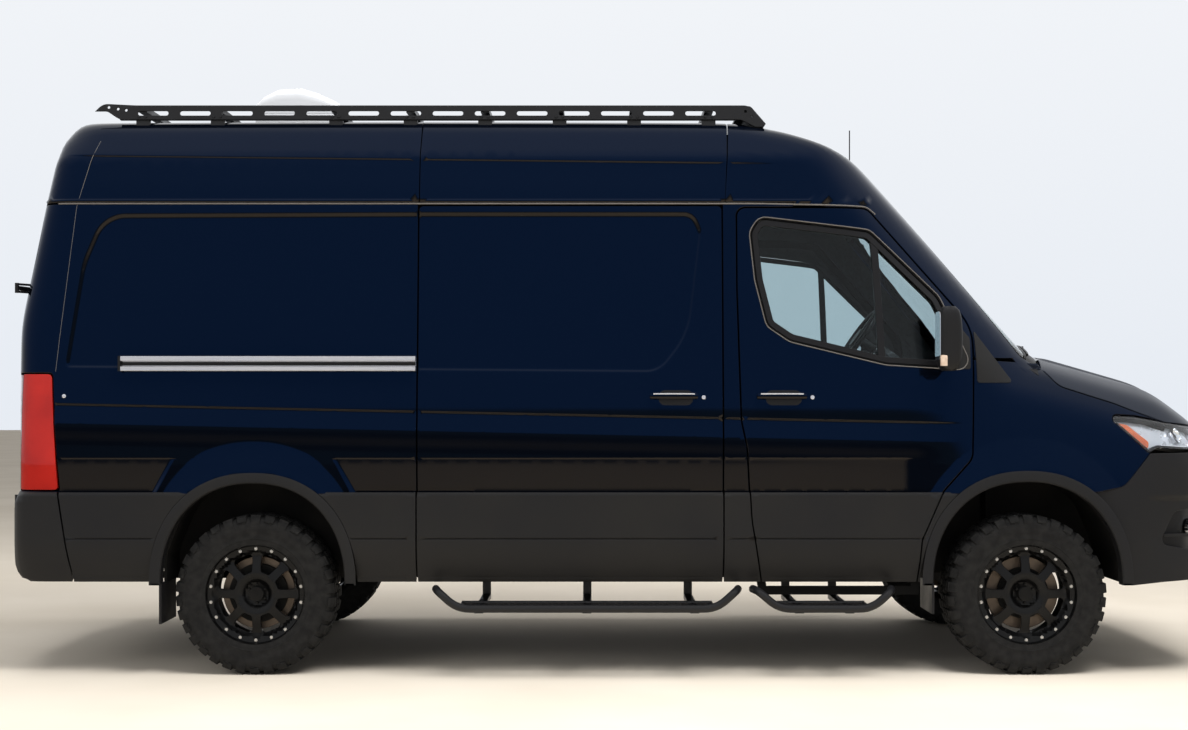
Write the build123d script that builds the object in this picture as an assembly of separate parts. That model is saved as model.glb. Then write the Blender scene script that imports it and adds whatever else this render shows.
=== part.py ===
from build123d import *
import math
import os

# Camper van, high roof, on four all-terrain tyres. Millimetres.
# X runs forward, Y to the van's left, Z up. While it is modelled, X is measured
# from the front axle and Z from the ground. Each piece is then moved by FRONT_AXLE_X,
# so the finished van's origin lies on the ground under the middle of its length.

# Overall sizes
WHEELBASE = 3665
FRONT_OVERHANG = 1004
REAR_OVERHANG = 1263
BODY_HALF = 985
MOULDING_DEPTH = 25
SILL_Z = 438
WALL = 60
ROOF_WALL = 45
GAP = 6
SEAT = 0.3

REAR_AXLE = -WHEELBASE
TAIL = REAR_AXLE - REAR_OVERHANG
FRONT_AXLE_X = (FRONT_OVERHANG + TAIL) / -2
MOULDING_Y = BODY_HALF + MOULDING_DEPTH

# Heights of the body's lines
MOULDING_TOP = 868
BELT_Z = 1262
GUTTER_Z = 2245
ROOF_CREASE_Z = 2470
SHOULDER_Z = 2668
CROWN_Z = 2764
BELT_LEAN = 10
GUTTER_LEAN = 87
CREASE_LEAN = 122
SHOULDER_LEAN = 262

# Stations along the side
REAR_FACE = REAR_AXLE - 1135
REAR_BULGE = 70
SLIDE_REAR = REAR_AXLE + 772
SLIDE_FRONT = -1446
PANEL_FOOT = SILL_Z - 40
DOOR_BACK = -1372

# Wheels
TYRE_R = 380
TYRE_HALF_WIDTH = 125
AXLE_Z = TYRE_R
TRACK_HALF = 855
KING_PIN_Y = TRACK_HALF - 120
RIM_R = 240
RIM_INNER_R = 205
SPOKES = 8
DISC_OUT = 95
HUB_R = 62
STUB_R = 34

# Body side features
REAR_ARCH_HALF = 430
FRONT_ARCH_HALF = 445
REAR_ARCH_TOP = 912
FRONT_ARCH_TOP = 917
ARCH_LIP = 52


def polygon(points, place):
    """A flat face from (u, v, corner radius) rows; place turns (u, v) into a point."""
    corners = [place(u, v) for u, v, *_ in points]
    face = Face(Wire.make_polygon([Vector(*c) for c in corners], close=True))
    radii = sorted({row[2] for row in points if len(row) > 2 and row[2] > 0})
    for radius in radii:
        wanted = [Vector(*c) for c, row in zip(corners, points)
                  if len(row) > 2 and row[2] == radius]
        found = [v for v in face.vertices()
                 if any((Vector(*v) - w).length < 0.01 for w in wanted)]
        face = face.fillet_2d(radius, found)
    return face


def prism_y(points, y0, y1):
    """A side-view outline of (x, z, radius) rows, as a solid from y0 to y1."""
    face = polygon(points, lambda u, v: (u, y0, v))
    return Solid.extrude(face, Vector(0, y1 - y0, 0))


def prism_x(points, x0, x1):
    """A cross-section of (y, z, radius) rows, as a solid from x0 to x1."""
    face = polygon(points, lambda u, v: (x0, u, v))
    return Solid.extrude(face, Vector(x1 - x0, 0, 0))


def prism_z(points, z0, z1):
    """A plan outline of (x, y, radius) rows, as a solid from z0 to z1."""
    face = polygon(points, lambda u, v: (u, v, z0))
    return Solid.extrude(face, Vector(0, 0, z1 - z0))


def block(x0, x1, y0, y1, z0, z1):
    return prism_z([(x0, y0), (x1, y0), (x1, y1), (x0, y1)], z0, z1)


def both_sides(half):
    """Half an outline of (y or x, z) rows with positive width, closed by its mirror."""
    return half + [(-row[0], *row[1:]) for row in reversed(half) if row[0] > 0]


def grown(points, by):
    """The outline with every edge moved outwards by a distance, inwards if negative."""
    area = sum(a[0] * b[1] - b[0] * a[1] for a, b in zip(points, points[1:] + points[:1]))
    turn = 1 if area > 0 else -1
    rows = []
    for i, row in enumerate(points):
        before = points[i - 1]
        after = points[(i + 1) % len(points)]
        e1 = Vector(row[0] - before[0], row[1] - before[1]).normalized()
        e2 = Vector(after[0] - row[0], after[1] - row[1]).normalized()
        n1 = Vector(e1.Y, -e1.X) * turn
        n2 = Vector(e2.Y, -e2.X) * turn
        shift = (n1 + n2) * (by / (1 + n1.dot(n2)))
        radius = 0
        if len(row) > 2 and row[2] > 0:
            outside = turn * (e1.X * e2.Y - e1.Y * e2.X) > 0
            radius = max(row[2] + (by if outside else -by), 2)
        rows.append((row[0] + shift.X, row[1] + shift.Y, radius))
    return rows


def solids(shape, crumb=0):
    """The separate solids of a shape, largest first, crumbs left out."""
    found = shape.solids() if shape is not None else []
    return sorted([s for s in found if s.volume > crumb], key=lambda s: -s.volume)


def joined(*pieces):
    """One solid from pieces that overlap or share faces."""
    whole = pieces[0]
    for piece in pieces[1:]:
        whole = whole + piece
    return whole


def mirrored(shape):
    return mirror(shape, about=Plane.XZ)


PARTS = {}
CRUMB = 1e5


def keep(name, *shapes, crumb=0):
    """Store a node's solids under its name, without slivers smaller than the crumb."""
    found = []
    for shape in shapes:
        found += solids(shape, crumb)
    PARTS[name] = Compound(children=found) if len(found) > 1 else found[0]


# The hull: side view, cross-section and plan, each a closed outline
FAR = 1400
FLOOR_Z = 600

CABIN_SIDE = [
    (REAR_FACE - REAR_BULGE, SILL_Z), (REAR_FACE - REAR_BULGE, 1660, 900),
    (REAR_FACE + 100, 2560, 160), (REAR_FACE + 250, CROWN_Z + 40), (-1800, CROWN_Z + 10, 0),
    (-1150, 2690, 1400), (-640, 2450, 700), (205, 1506), (205, SILL_Z),
]
NOSE_SIDE = [
    (-700, SILL_Z), (-700, 1580), (20, 1565), (700, 1375, 500), (925, 1205, 220),
    (FRONT_OVERHANG, 960, 200), (FRONT_OVERHANG, 600, 80), (960, 418, 30), (520, 405),
    (440, SILL_Z),
]
CROWN_ROUND = 0.84 * (BODY_HALF - SHOULDER_LEAN) ** 2 / (CROWN_Z - SHOULDER_Z)
SECTION = both_sides([
    (0, CROWN_Z, CROWN_ROUND), (BODY_HALF - SHOULDER_LEAN, SHOULDER_Z, 150),
    (BODY_HALF - CREASE_LEAN, ROOF_CREASE_Z, 120), (BODY_HALF - GUTTER_LEAN, GUTTER_Z),
    (BODY_HALF - BELT_LEAN, BELT_Z), (BODY_HALF, 1000), (BODY_HALF, 300),
])
NOSE_CORNER_Y = BODY_HALF - 80
NOSE_CHEEK_Y = BODY_HALF - 345
PLAN = [
    (REAR_FACE - REAR_BULGE, 0, 6000), (REAR_FACE, BODY_HALF, 110), (480, BODY_HALF, 500),
    (840, NOSE_CORNER_Y, 260), (965, NOSE_CHEEK_Y, 260), (FRONT_OVERHANG, 300, 900),
    (FRONT_OVERHANG, -300, 900), (965, -NOSE_CHEEK_Y, 260), (840, -NOSE_CORNER_Y, 260),
    (480, -BODY_HALF, 500), (REAR_FACE, -BODY_HALF, 110),
]

# The windscreen's slope, and the outline that wraps it round in plan
SCREEN_TOP = Vector(-640, 0, 2450)
SCREEN_FOOT = Vector(205, 0, 1506)
SLOPE = (SCREEN_FOOT - SCREEN_TOP).normalized()
SCREEN_OUT = Vector(-SLOPE.Z, 0, SLOPE.X)
WRAP = both_sides([
    (300, 0, 1500), (BODY_HALF - 225, -105, 300), (BODY_HALF - 60, -330, 400),
    (BODY_HALF + 215, -1500), (BODY_HALF + 215, -6000),
])


def wrap_prism(points):
    """Runs an outline of (y, height off the windscreen) rows along the windscreen's slope."""
    start = SCREEN_TOP - SLOPE * 4000
    face = polygon(points, lambda u, v: (start + Vector(0, u, 0) + SCREEN_OUT * v))
    return Solid.extrude(face, SLOPE * 8000)


def hull_pieces(inset, roof_inset):
    """Cabin and nose, each set in from the outer skin by a wall."""
    section = grown(SECTION, -inset)
    top = roof_inset - inset
    section = [(row[0], row[1] - top * (row[1] > GUTTER_Z), *row[2:]) for row in section]
    plan = prism_z(grown(PLAN, -inset), 200, 3200)
    across = prism_x(section, TAIL - 200, FRONT_OVERHANG + 200)
    cabin = prism_y(grown(CABIN_SIDE, -inset), -FAR, FAR)
    nose = prism_y(grown(NOSE_SIDE, -inset), -FAR, FAR)
    cabin = cabin & across & plan & wrap_prism(grown(WRAP, -inset))
    nose = nose & across & plan
    return cabin, nose


CABIN, NOSE = hull_pieces(0, 0)
CABIN_IN, NOSE_IN = hull_pieces(WALL, ROOF_WALL)
HULL = CABIN + NOSE

# The firewall parts the cabin from the engine bay
FIREWALL_X = -120
FIREWALL_T = 30
COWL_Z = 1532
CABIN_HOLLOW = CABIN_IN & (block(TAIL, FIREWALL_X, -FAR, FAR, 0, 3000)
                           + block(FIREWALL_X - 1, 400, -FAR, FAR, COWL_Z, 3000))
BELOW = block(REAR_FACE + WALL, 700, -BODY_HALF + WALL, BODY_HALF - WALL, 0, FLOOR_Z)
BAY_HOLLOW = NOSE_IN & block(FIREWALL_X + FIREWALL_T, 1200, -FAR, FAR, 0, 3000)
SHELL = HULL - CABIN_HOLLOW - BAY_HOLLOW - BELOW


def arch_outline(centre, half, top):
    """The wheel arch's opening in side view."""
    return [(centre - half, 200), (centre - half, AXLE_Z + 190, 150),
            (centre - half * 0.74, top - 60, 260), (centre, top + 18, 400),
            (centre + half * 0.74, top - 60, 260), (centre + half, AXLE_Z + 190, 150),
            (centre + half, 200)]


REAR_ARCH = arch_outline(REAR_AXLE, REAR_ARCH_HALF, REAR_ARCH_TOP)
FRONT_ARCH = arch_outline(0, FRONT_ARCH_HALF, FRONT_ARCH_TOP)

# How far in each arch reaches: past the tyre at the rear, past the tyre on full lock in front
TYRE_ROOM = 50
LOCK_ROOM = 210
REAR_HOUSE_Y = TRACK_HALF - TYRE_HALF_WIDTH - TYRE_ROOM
FRONT_HOUSE_Y = KING_PIN_Y - LOCK_ROOM
ARCHES = [(REAR_ARCH, REAR_HOUSE_Y), (FRONT_ARCH, FRONT_HOUSE_Y)]
HOUSE_WALL = 12
for outline, inner in ARCHES:
    for side in (-1, 1):
        SHELL = SHELL - prism_y(outline, side * FAR, side * inner)

# Side-view outlines of the panels; each row is x, z, corner radius
FRONT_DOOR = [
    (DOOR_BACK, GUTTER_Z - 22, 40), (DOOR_BACK, 1829, 900), (-1355, 1210, 300),
    (-1327, 1068, 200), (-1308, 738, 500), (-1251, PANEL_FOOT), (-528, PANEL_FOOT),
    (-510, 643, 60), (-410, 870, 150), (-265, 1030, 80), (-243, 1660, 200), (-742, GUTTER_Z - 22, 60),
]
SLIDING_DOOR = [
    (SLIDE_REAR, PANEL_FOOT), (SLIDE_FRONT, PANEL_FOOT),
    (SLIDE_FRONT, GUTTER_Z - 12, 20), (SLIDE_REAR, GUTTER_Z - 12, 20),
]
DOOR_WINDOW = [
    (-1305, 2106, 60), (-1280, 2165, 40), (-741, 2110, 60), (-407, 1796, 100),
    (-262, 1455, 40), (-670, 1480, 200), (-1123, 1590, 100), (-1228, 1662, 60), (-1281, 1877, 200),
]
BONNET_SIDE = [
    (0, 1900), (0, 1487), (420, 1370, 200), (790, 1222, 60), (850, 1160), (1200, 1160), (1200, 1900),
]
BONNET_REAR = 62
BONNET_PLAN = [
    (BONNET_REAR, 1100), (BONNET_REAR, 880, 300), (215, 400, 700), (215, -400, 700),
    (BONNET_REAR, -880, 300), (BONNET_REAR, -1100), (1200, -1100), (1200, 1100),
]
LAMP_TIP = (602, 1056)
LAMP_FOOT = (815, 1006)
LAMP_SIDE = [
    (387, 1243, 25), LAMP_TIP, LAMP_FOOT, (1200, LAMP_FOOT[1]), (1200, 1225),
]
BUMPER_SIDE = [
    (400, 200), (400, 879), LAMP_TIP, LAMP_FOOT, (1200, LAMP_FOOT[1]), (1200, 200),
]
GRILLE_SIDE = [(700, LAMP_FOOT[1]), (1200, LAMP_FOOT[1]), (1200, 1300), (700, 1300)]
LAMP_INNER_Y = 560
NOSE_DEEP = 860

BONNET_PRISM = prism_y(BONNET_SIDE, -FAR, FAR) & prism_z(BONNET_PLAN, 1100, 1900)
BONNET_HOLE = (prism_y(grown(BONNET_SIDE, GAP), -FAR, FAR)
               & prism_z(grown(BONNET_PLAN, GAP), 1100, 1900))

# Rear doors: their outline across the van, and the parting at the middle
REAR_DOOR_HALF = BODY_HALF - 125
REAR_DOOR_FOOT = 640
REAR_DOOR_TOP = 2440
REAR_DOOR = both_sides([
    (0, REAR_DOOR_FOOT), (REAR_DOOR_HALF, REAR_DOOR_FOOT, 40), (REAR_DOOR_HALF, 2050, 800),
    (REAR_DOOR_HALF - 75, REAR_DOOR_TOP, 90), (0, REAR_DOOR_TOP + 25),
])
REAR_ZONE = REAR_FACE + 330
DOOR_BLOCK = prism_x(REAR_DOOR, TAIL - 100, REAR_ZONE)
DOOR_BLOCK_HOLE = prism_x(grown(REAR_DOOR, GAP), TAIL - 100, REAR_ZONE)

# Pressings: the shell stands in by a little inside each outline
PRESS_DEEP = 9
DOOR_IN = BODY_HALF - 285
RECESS_REAR = [
    (-4571, 1455, 20), (SLIDE_REAR + 100, 1445), (SLIDE_REAR + 100, 2203), (-4405, 2195, 160), (-4500, 1960, 400),
]
RECESS_SLIDE = [
    (SLIDE_REAR - 100, 1443), (-1744, 1433, 140), (-1601, 1614, 500), (-1540, 2115, 90),
    (-1580, 2203, 80), (SLIDE_REAR - 100, 2203),
]
RECESS_LEFT = [
    (-4571, 1455, 20), (-1744, 1433, 140), (-1601, 1614, 500), (-1540, 2115, 90),
    (-1580, 2203, 80), (-4405, 2195, 160), (-4500, 1960, 400),
]
TAIL_UPPER = [(100, 1500, 80), (760, 1500, 80), (755, 2020, 300), (700, 2330, 100), (100, 2350, 80)]
TAIL_LOWER = [(100, 760, 60), (740, 760, 60), (760, 1360, 80), (100, 1360, 80)]
left_layer = CABIN - CABIN.moved(Location((0, -PRESS_DEEP, 0)))
right_layer = CABIN - CABIN.moved(Location((0, PRESS_DEEP, 0)))
tail_layer = CABIN - CABIN.moved(Location((PRESS_DEEP, 0, 0)))
SHELL = SHELL - (prism_y(RECESS_LEFT, DOOR_IN, FAR) & left_layer)
for outline in (RECESS_REAR, RECESS_SLIDE):
    SHELL = SHELL - (prism_y(outline, -FAR, -DOOR_IN) & right_layer)
for outline in (TAIL_UPPER, TAIL_LOWER):
    for side in (-1, 1):
        SHELL = SHELL - (prism_x([(side * y, z, r) for y, z, r in outline], TAIL, REAR_ZONE) & tail_layer)

# Panels of the shell
BELTLINE_SPLIT = 1500
SIDE_SPLIT = -1250
FENDER_IN = BODY_HALF - 225
SCREEN_LENGTH = (SCREEN_FOOT - SCREEN_TOP).length
GLASS_T = 6

APERTURE = [
    (630, 130, 90), (748, SCREEN_LENGTH - 70, 90), (-748, SCREEN_LENGTH - 70, 90), (-630, 130, 90),
]


def screen_prism(points, depth):
    """Runs an outline of (y, distance down the slope) rows through the windscreen."""
    start = SCREEN_TOP - SCREEN_OUT * depth
    face = polygon(points, lambda u, v: tuple(start + SLOPE * v + Vector(0, u, 0)))
    return Solid.extrude(face, SCREEN_OUT * (depth + 400))


APERTURE_PRISM = screen_prism(APERTURE, 130)
screen_skin = wrap_prism(WRAP) - wrap_prism(grown(WRAP, -GLASS_T))
keep("windscreen", (screen_skin & APERTURE_PRISM) - NOSE)


rest = SHELL - (APERTURE_PRISM - NOSE) - BONNET_HOLE
rest = rest - prism_y(grown(FRONT_DOOR, GAP), DOOR_IN, FAR)
rest = rest - prism_y(grown(FRONT_DOOR, GAP), -FAR, -DOOR_IN)
rest = rest - prism_y(grown(SLIDING_DOOR, GAP), -FAR, -DOOR_IN)
rest = rest - DOOR_BLOCK_HOLE

# The doors' and bonnet's hinge axes lie in the gap at the outer skin. A lug behind
# the skin reaches from each into a pocket beside the gap.
DOOR_AXIS = (-243 + GAP / 2, MOULDING_Y + 2)
BONNET_AXIS = (BONNET_REAR - GAP / 2, 1556)
LUG_REACH = 30
LUG_HALF = 30
LUG_DEEP = 56
LUG_ROOT = BODY_HALF - 55
POCKET_IN = BODY_HALF - 125
DOOR_LUG_Z = (1190, 1380)
BONNET_LUG_Y = BODY_HALF - 125
lug_front = DOOR_AXIS[0] + LUG_REACH
door_lugs = []
for z in DOOR_LUG_Z:
    pocket = block(DOOR_AXIS[0] - 20, lug_front + SEAT, POCKET_IN, DOOR_AXIS[1] - LUG_DEEP + 6,
                   z - LUG_HALF - GAP, z + LUG_HALF + GAP)
    rest = rest - pocket - mirrored(pocket)
    door_lugs.append(block(-300, lug_front, LUG_ROOT, DOOR_AXIS[1] - LUG_DEEP, z - LUG_HALF, z + LUG_HALF))
bonnet_lugs = []
lug_rear = BONNET_AXIS[0] - LUG_REACH
for y in (-BONNET_LUG_Y, BONNET_LUG_Y):
    pocket = block(lug_rear - SEAT, BONNET_AXIS[0] + 50, y - LUG_HALF - GAP, y + LUG_HALF + GAP,
                   1400, BONNET_AXIS[1] - 24)
    rest = rest - pocket
    bonnet_lugs.append(block(lug_rear, BONNET_REAR + 110, y - LUG_HALF, y + LUG_HALF,
                             BONNET_AXIS[1] - 52, BONNET_AXIS[1] - 30))

door = joined(SHELL & prism_y(FRONT_DOOR, DOOR_IN, FAR), *door_lugs)
door = door - prism_y(DOOR_WINDOW, DOOR_IN, FAR)
glass = (HULL & prism_y(DOOR_WINDOW, DOOR_IN, FAR)) - HULL.moved(Location((0, -GLASS_T, 0)))

# Door handles: a pull bar on two feet, standing off the door
HANDLE_OFF = 14
HANDLE_T = 14
HANDLE_Z = 1321
HANDLE_HALF = 14
HANDLE_FOOT = 34
HANDLE_LONG = 236


def handle(rear, side):
    skin = BODY_HALF - BELT_LEAN - 2
    inner = skin + HANDLE_OFF
    bar = block(rear, rear + HANDLE_LONG, side * inner, side * (inner + HANDLE_T),
                HANDLE_Z - HANDLE_HALF, HANDLE_Z + HANDLE_HALF)
    feet = [block(x, x + HANDLE_FOOT, side * (skin - 12), side * (inner + 4),
                  HANDLE_Z - HANDLE_HALF + 4, HANDLE_Z + HANDLE_HALF - 4)
            for x in (rear + 6, rear + HANDLE_LONG - 40)]
    return joined(bar, *feet)


door = joined(door, handle(-1296, 1))
keep("door_left", door)
keep("door_right", mirrored(door))
keep("door_glass_left", glass, crumb=CRUMB)
keep("door_glass_right", mirrored(glass), crumb=CRUMB)

# The sliding door's lower roller arm stands on the edge of the floor
FLOOR_T = 40
FLOOR_HALF = BODY_HALF - WALL
roller_arm = block(SLIDE_FRONT - 250, SLIDE_FRONT - 130, -FLOOR_HALF - 5, -FLOOR_HALF + GAP - SEAT,
                   FLOOR_Z + 6, FLOOR_Z + FLOOR_T - 6)
slide_handle = handle(-1804, -1)
keep("sliding_door", joined(SHELL & prism_y(SLIDING_DOOR, -FAR, -DOOR_IN), roller_arm, slide_handle))
keep("bonnet", joined(SHELL & BONNET_PRISM, *bonnet_lugs))

rear_wall = SHELL & DOOR_BLOCK

# Rear hinges: a knuckle on the door between two on the body, outside the skin
REAR_HINGE_Z = (826, 1843)
REAR_HINGE_OUT = 20
REAR_AXIS = (REAR_FACE - REAR_BULGE * (1 - REAR_DOOR_HALF / BODY_HALF) - REAR_HINGE_OUT,
             REAR_DOOR_HALF + GAP + 4)
KNUCKLE_R = 10
KNUCKLE_HALF = 12
KNUCKLE_LONG = 24


def knuckle(z0, z1, arm):
    barrel = Solid.make_cylinder(KNUCKLE_R, z1 - z0, Plane((*REAR_AXIS, z0)))
    low, high = sorted((REAR_AXIS[1], REAR_AXIS[1] + arm))
    plate = block(REAR_AXIS[0] - 4, REAR_FACE + 150, low, high, z0, z1)
    return joined(barrel, plate) - HULL


rear_door = rear_wall & block(TAIL - 200, REAR_ZONE, GAP / 2, FAR, 0, 3000)
body_knuckles = []
for z in REAR_HINGE_Z:
    rear_door = rear_door + knuckle(z - KNUCKLE_HALF, z + KNUCKLE_HALF, -34)
    for z0, z1 in ((z + KNUCKLE_HALF + SEAT, z + KNUCKLE_HALF + KNUCKLE_LONG),
                   (z - KNUCKLE_HALF - KNUCKLE_LONG, z - KNUCKLE_HALF - SEAT)):
        body_knuckles.append(knuckle(z0, z1, 20))
keep("rear_door_left", rear_door)
keep("rear_door_right", mirrored(rear_door))

roof = rest & block(TAIL - 200, FRONT_OVERHANG, -FAR, FAR, GUTTER_Z, 3000)
SEAMS = [SLIDE_REAR, SLIDE_FRONT + 17]
keep("roof_rear", roof & block(TAIL - 200, SEAMS[0], -FAR, FAR, 0, 3000))
keep("roof_middle", roof & block(SEAMS[0], SEAMS[1], -FAR, FAR, 0, 3000))
keep("roof_front", roof & block(SEAMS[1], FRONT_OVERHANG, -FAR, FAR, 0, 3000))

lower = rest & block(TAIL - 200, FRONT_OVERHANG + 100, -FAR, FAR, 0, GUTTER_Z)

# Rear bumper and tail lamps wrap the rear corners
BUMPER_TOP = 600
REAR_BUMPER_SIDE = [
    (TAIL - 300, 300), (REAR_FACE + 285, 300), (REAR_FACE + 280, 490), (REAR_FACE + 210, 874),
    (TAIL - 300, 874),
]
TAIL_LAMP_SIDE = [
    (TAIL - 300, 874), (REAR_FACE + 206, 874), (REAR_FACE + 169, 1429), (TAIL - 300, 1429),
]
CORNER_Y = REAR_DOOR_HALF + 20
bumper_zone = prism_y(REAR_BUMPER_SIDE, -FAR, FAR)
bumper_zone = bumper_zone - block(TAIL, -4000, -CORNER_Y, CORNER_Y, REAR_DOOR_FOOT - GAP, 1000)
lamp_zone = prism_y(TAIL_LAMP_SIDE, -FAR, -CORNER_Y) + prism_y(TAIL_LAMP_SIDE, CORNER_Y, FAR)
bumper_beam = prism_z([
    (REAR_FACE + 40, BODY_HALF - 20, 20), (REAR_FACE + 40, -BODY_HALF + 20, 20),
    (REAR_FACE - 60, -BODY_HALF + 60, 60), (TAIL, -560, 120), (TAIL, 560, 120),
    (REAR_FACE - 60, BODY_HALF - 60, 60)], SILL_Z - 10, BUMPER_TOP)
keep("rear_bumper", joined(lower & bumper_zone, bumper_beam))
keep("tail_lamps", lower & lamp_zone)
lower = lower - bumper_zone - lamp_zone - bumper_beam

# Front bumper, headlamps and grille
front_bumper = lower & prism_y(BUMPER_SIDE, -FAR, FAR)
lamps = lower & (prism_y(LAMP_SIDE, LAMP_INNER_Y, FAR) + prism_y(LAMP_SIDE, -FAR, -LAMP_INNER_Y))
grille = lower & prism_y(GRILLE_SIDE, -LAMP_INNER_Y, LAMP_INNER_Y)

# The grille's slots between its slats, the lower intake, and the recess round each fog lamp
SLOT_HALF = LAMP_INNER_Y - 60
INTAKE_HALF = 430
SLOT_POST = 20
SLOT_ROWS = ((1028, 1062), (1078, 1112), (1128, 1158))
INTAKE_ROWS = ((520, 580), (600, 660), (680, 740))


def slots(rows, half):
    """Slots on both sides of a middle post, through the skin of the nose."""
    return [block(NOSE_DEEP, FRONT_OVERHANG + 50, side * SLOT_POST, side * half, z0, z1)
            for side in (-1, 1) for z0, z1 in rows]


for slot in slots(SLOT_ROWS, SLOT_HALF):
    grille = grille - slot
for slot in slots(INTAKE_ROWS, INTAKE_HALF):
    front_bumper = front_bumper - slot
FOG_DEEP = 32
FOG = [(600, 560, 30), (870, 620, 30), (850, 780, 30), (640, 770, 30)]
fog_layer = NOSE - NOSE.moved(Location((-FOG_DEEP, 0, 0)))
for side in (-1, 1):
    front_bumper = front_bumper - (prism_x([(side * y, z, r) for y, z, r in FOG], 600, 1100) & fog_layer)
keep("front_bumper", front_bumper)
keep("headlamps", lamps)
keep("grille", grille)
lower = (lower - prism_y(BUMPER_SIDE, -FAR, FAR) - prism_y(GRILLE_SIDE, -LAMP_INNER_Y, LAMP_INNER_Y)
         - prism_y(LAMP_SIDE, LAMP_INNER_Y, FAR) - prism_y(LAMP_SIDE, -FAR, -LAMP_INNER_Y))

rear_part = lower & block(TAIL - 200, SIDE_SPLIT, -FAR, FAR, 0, 3000)
side_left = joined(rear_part & block(TAIL - 200, SIDE_SPLIT, 0, FAR, 0, 3000), *body_knuckles)
side_right = joined(rear_part & block(TAIL - 200, SLIDE_REAR, -FAR, 0, 0, 3000),
                    *[mirrored(piece) for piece in body_knuckles])
keep("side_left", side_left)
keep("side_right", side_right)
keep("pillar_right", rear_part & block(SLIDE_REAR, SIDE_SPLIT, -FAR, 0, 0, 3000))
front_part = lower & block(SIDE_SPLIT, FRONT_OVERHANG + 100, -FAR, FAR, 0, 3000)
fender_left = block(SIDE_SPLIT, FRONT_OVERHANG + 100, FENDER_IN, FAR, 0, BELTLINE_SPLIT)
fender_right = mirrored(fender_left)
keep("fenders", front_part & fender_left, front_part & fender_right, crumb=CRUMB)
keep("cab_frame", front_part - fender_left - fender_right, crumb=CRUMB)

# Wheelhouses line the arches inside the body
def wheelhouse(outline, inner, side):
    inner_y = side * inner
    outer_y = side * (BODY_HALF - WALL)
    closed = prism_y(grown(outline, HOUSE_WALL), inner_y - side * HOUSE_WALL, outer_y)
    house = closed - prism_y(outline, inner_y, outer_y + side) - block(-6000, 2000, -FAR, FAR, 0, SILL_Z)
    return house


# Floor pan with its long rails, sills and cross-members
RAIL_Y = 420
RAIL_W = 70
RAIL_FOOT = 470
SILL_W = 50
floor = block(REAR_FACE + 5, FIREWALL_X, -FLOOR_HALF, FLOOR_HALF, FLOOR_Z, FLOOR_Z + FLOOR_T)
for side in (-1, 1):
    floor += block(REAR_FACE + 60, 800, side * RAIL_Y, side * (RAIL_Y + RAIL_W), RAIL_FOOT, FLOOR_Z)
    floor += block(REAR_AXLE + 520, -520, side * (FLOOR_HALF - GAP - SILL_W), side * (FLOOR_HALF - GAP),
                   SILL_Z + 20, FLOOR_Z)
CROSS_MEMBERS = (REAR_AXLE - 700, REAR_AXLE + 700, REAR_AXLE + 1700, -1250, -600)
for x in CROSS_MEMBERS:
    floor += block(x - 40, x + 40, -FLOOR_HALF + 60, FLOOR_HALF - 60, RAIL_FOOT + 20, FLOOR_Z)
door_room = block(DOOR_BACK - GAP, -200, FLOOR_HALF - GAP, FAR, 0, 800)
slide_room = block(SLIDE_REAR - GAP, SLIDE_FRONT + GAP, -FAR, -FLOOR_HALF + GAP, 0, 800)
floor = floor - door_room - mirrored(door_room) - slide_room
houses = []
for outline, inner in ARCHES:
    for side in (-1, 1):
        houses.append(wheelhouse(outline, inner, side))
        floor = floor - prism_y(grown(outline, HOUSE_WALL), side * (inner - HOUSE_WALL), side * FAR)
floor = floor - bumper_beam - SHELL
keep("floor", floor, crumb=CRUMB)


# Engine block, axles, knuckles and wheels
ENGINE_HALF = 280
ENGINE_X = (-60, 640)
ENGINE_Z = (560, 1180)
MOUNT_X = (240, 330)
engine = block(*ENGINE_X, -ENGINE_HALF, ENGINE_HALF, *ENGINE_Z)
engine_mounts = block(*MOUNT_X, -RAIL_Y, RAIL_Y, ENGINE_Z[0], FLOOR_Z - 20)
keep("engine", joined(engine, engine_mounts))


def ring_y(profile, side):
    """Turns rows of (radius, y) into a solid about the Y axis through the origin."""
    points = [Vector(r, side * y, 0) for r, y in profile]
    face = Face(Wire.make_polygon(points, close=True))
    return Solid.revolve(face, 360, Axis.Y)


def cylinder_y(radius, y0, y1):
    low, high = min(y0, y1), max(y0, y1)
    return ring_y([(0, low), (radius, low), (radius, high), (0, high)], 1)


# Each wheel is built about its own centre, y outwards
TREAD_ROOT_R = TYRE_R - 13
TYRE = [
    (RIM_R - 9 + SEAT, -100), (RIM_R + 40, -122), (TYRE_R - 48, -TYRE_HALF_WIDTH), (TREAD_ROOT_R, -104),
    (TREAD_ROOT_R, 104), (TYRE_R - 48, TYRE_HALF_WIDTH), (RIM_R + 40, 122), (RIM_R - 9 + SEAT, 108),
]
BARREL = [
    (RIM_R - 9, -100), (RIM_R - 9, 107), (RIM_R - 22, 112), (RIM_INNER_R + 10, 104),
    (RIM_INNER_R, 60), (RIM_INNER_R - 8, -100),
]
SPOKE_T = 40
SPOKE_WINDOW = [(92, 17), (196, 40), (196, -40), (92, -17)]


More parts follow.
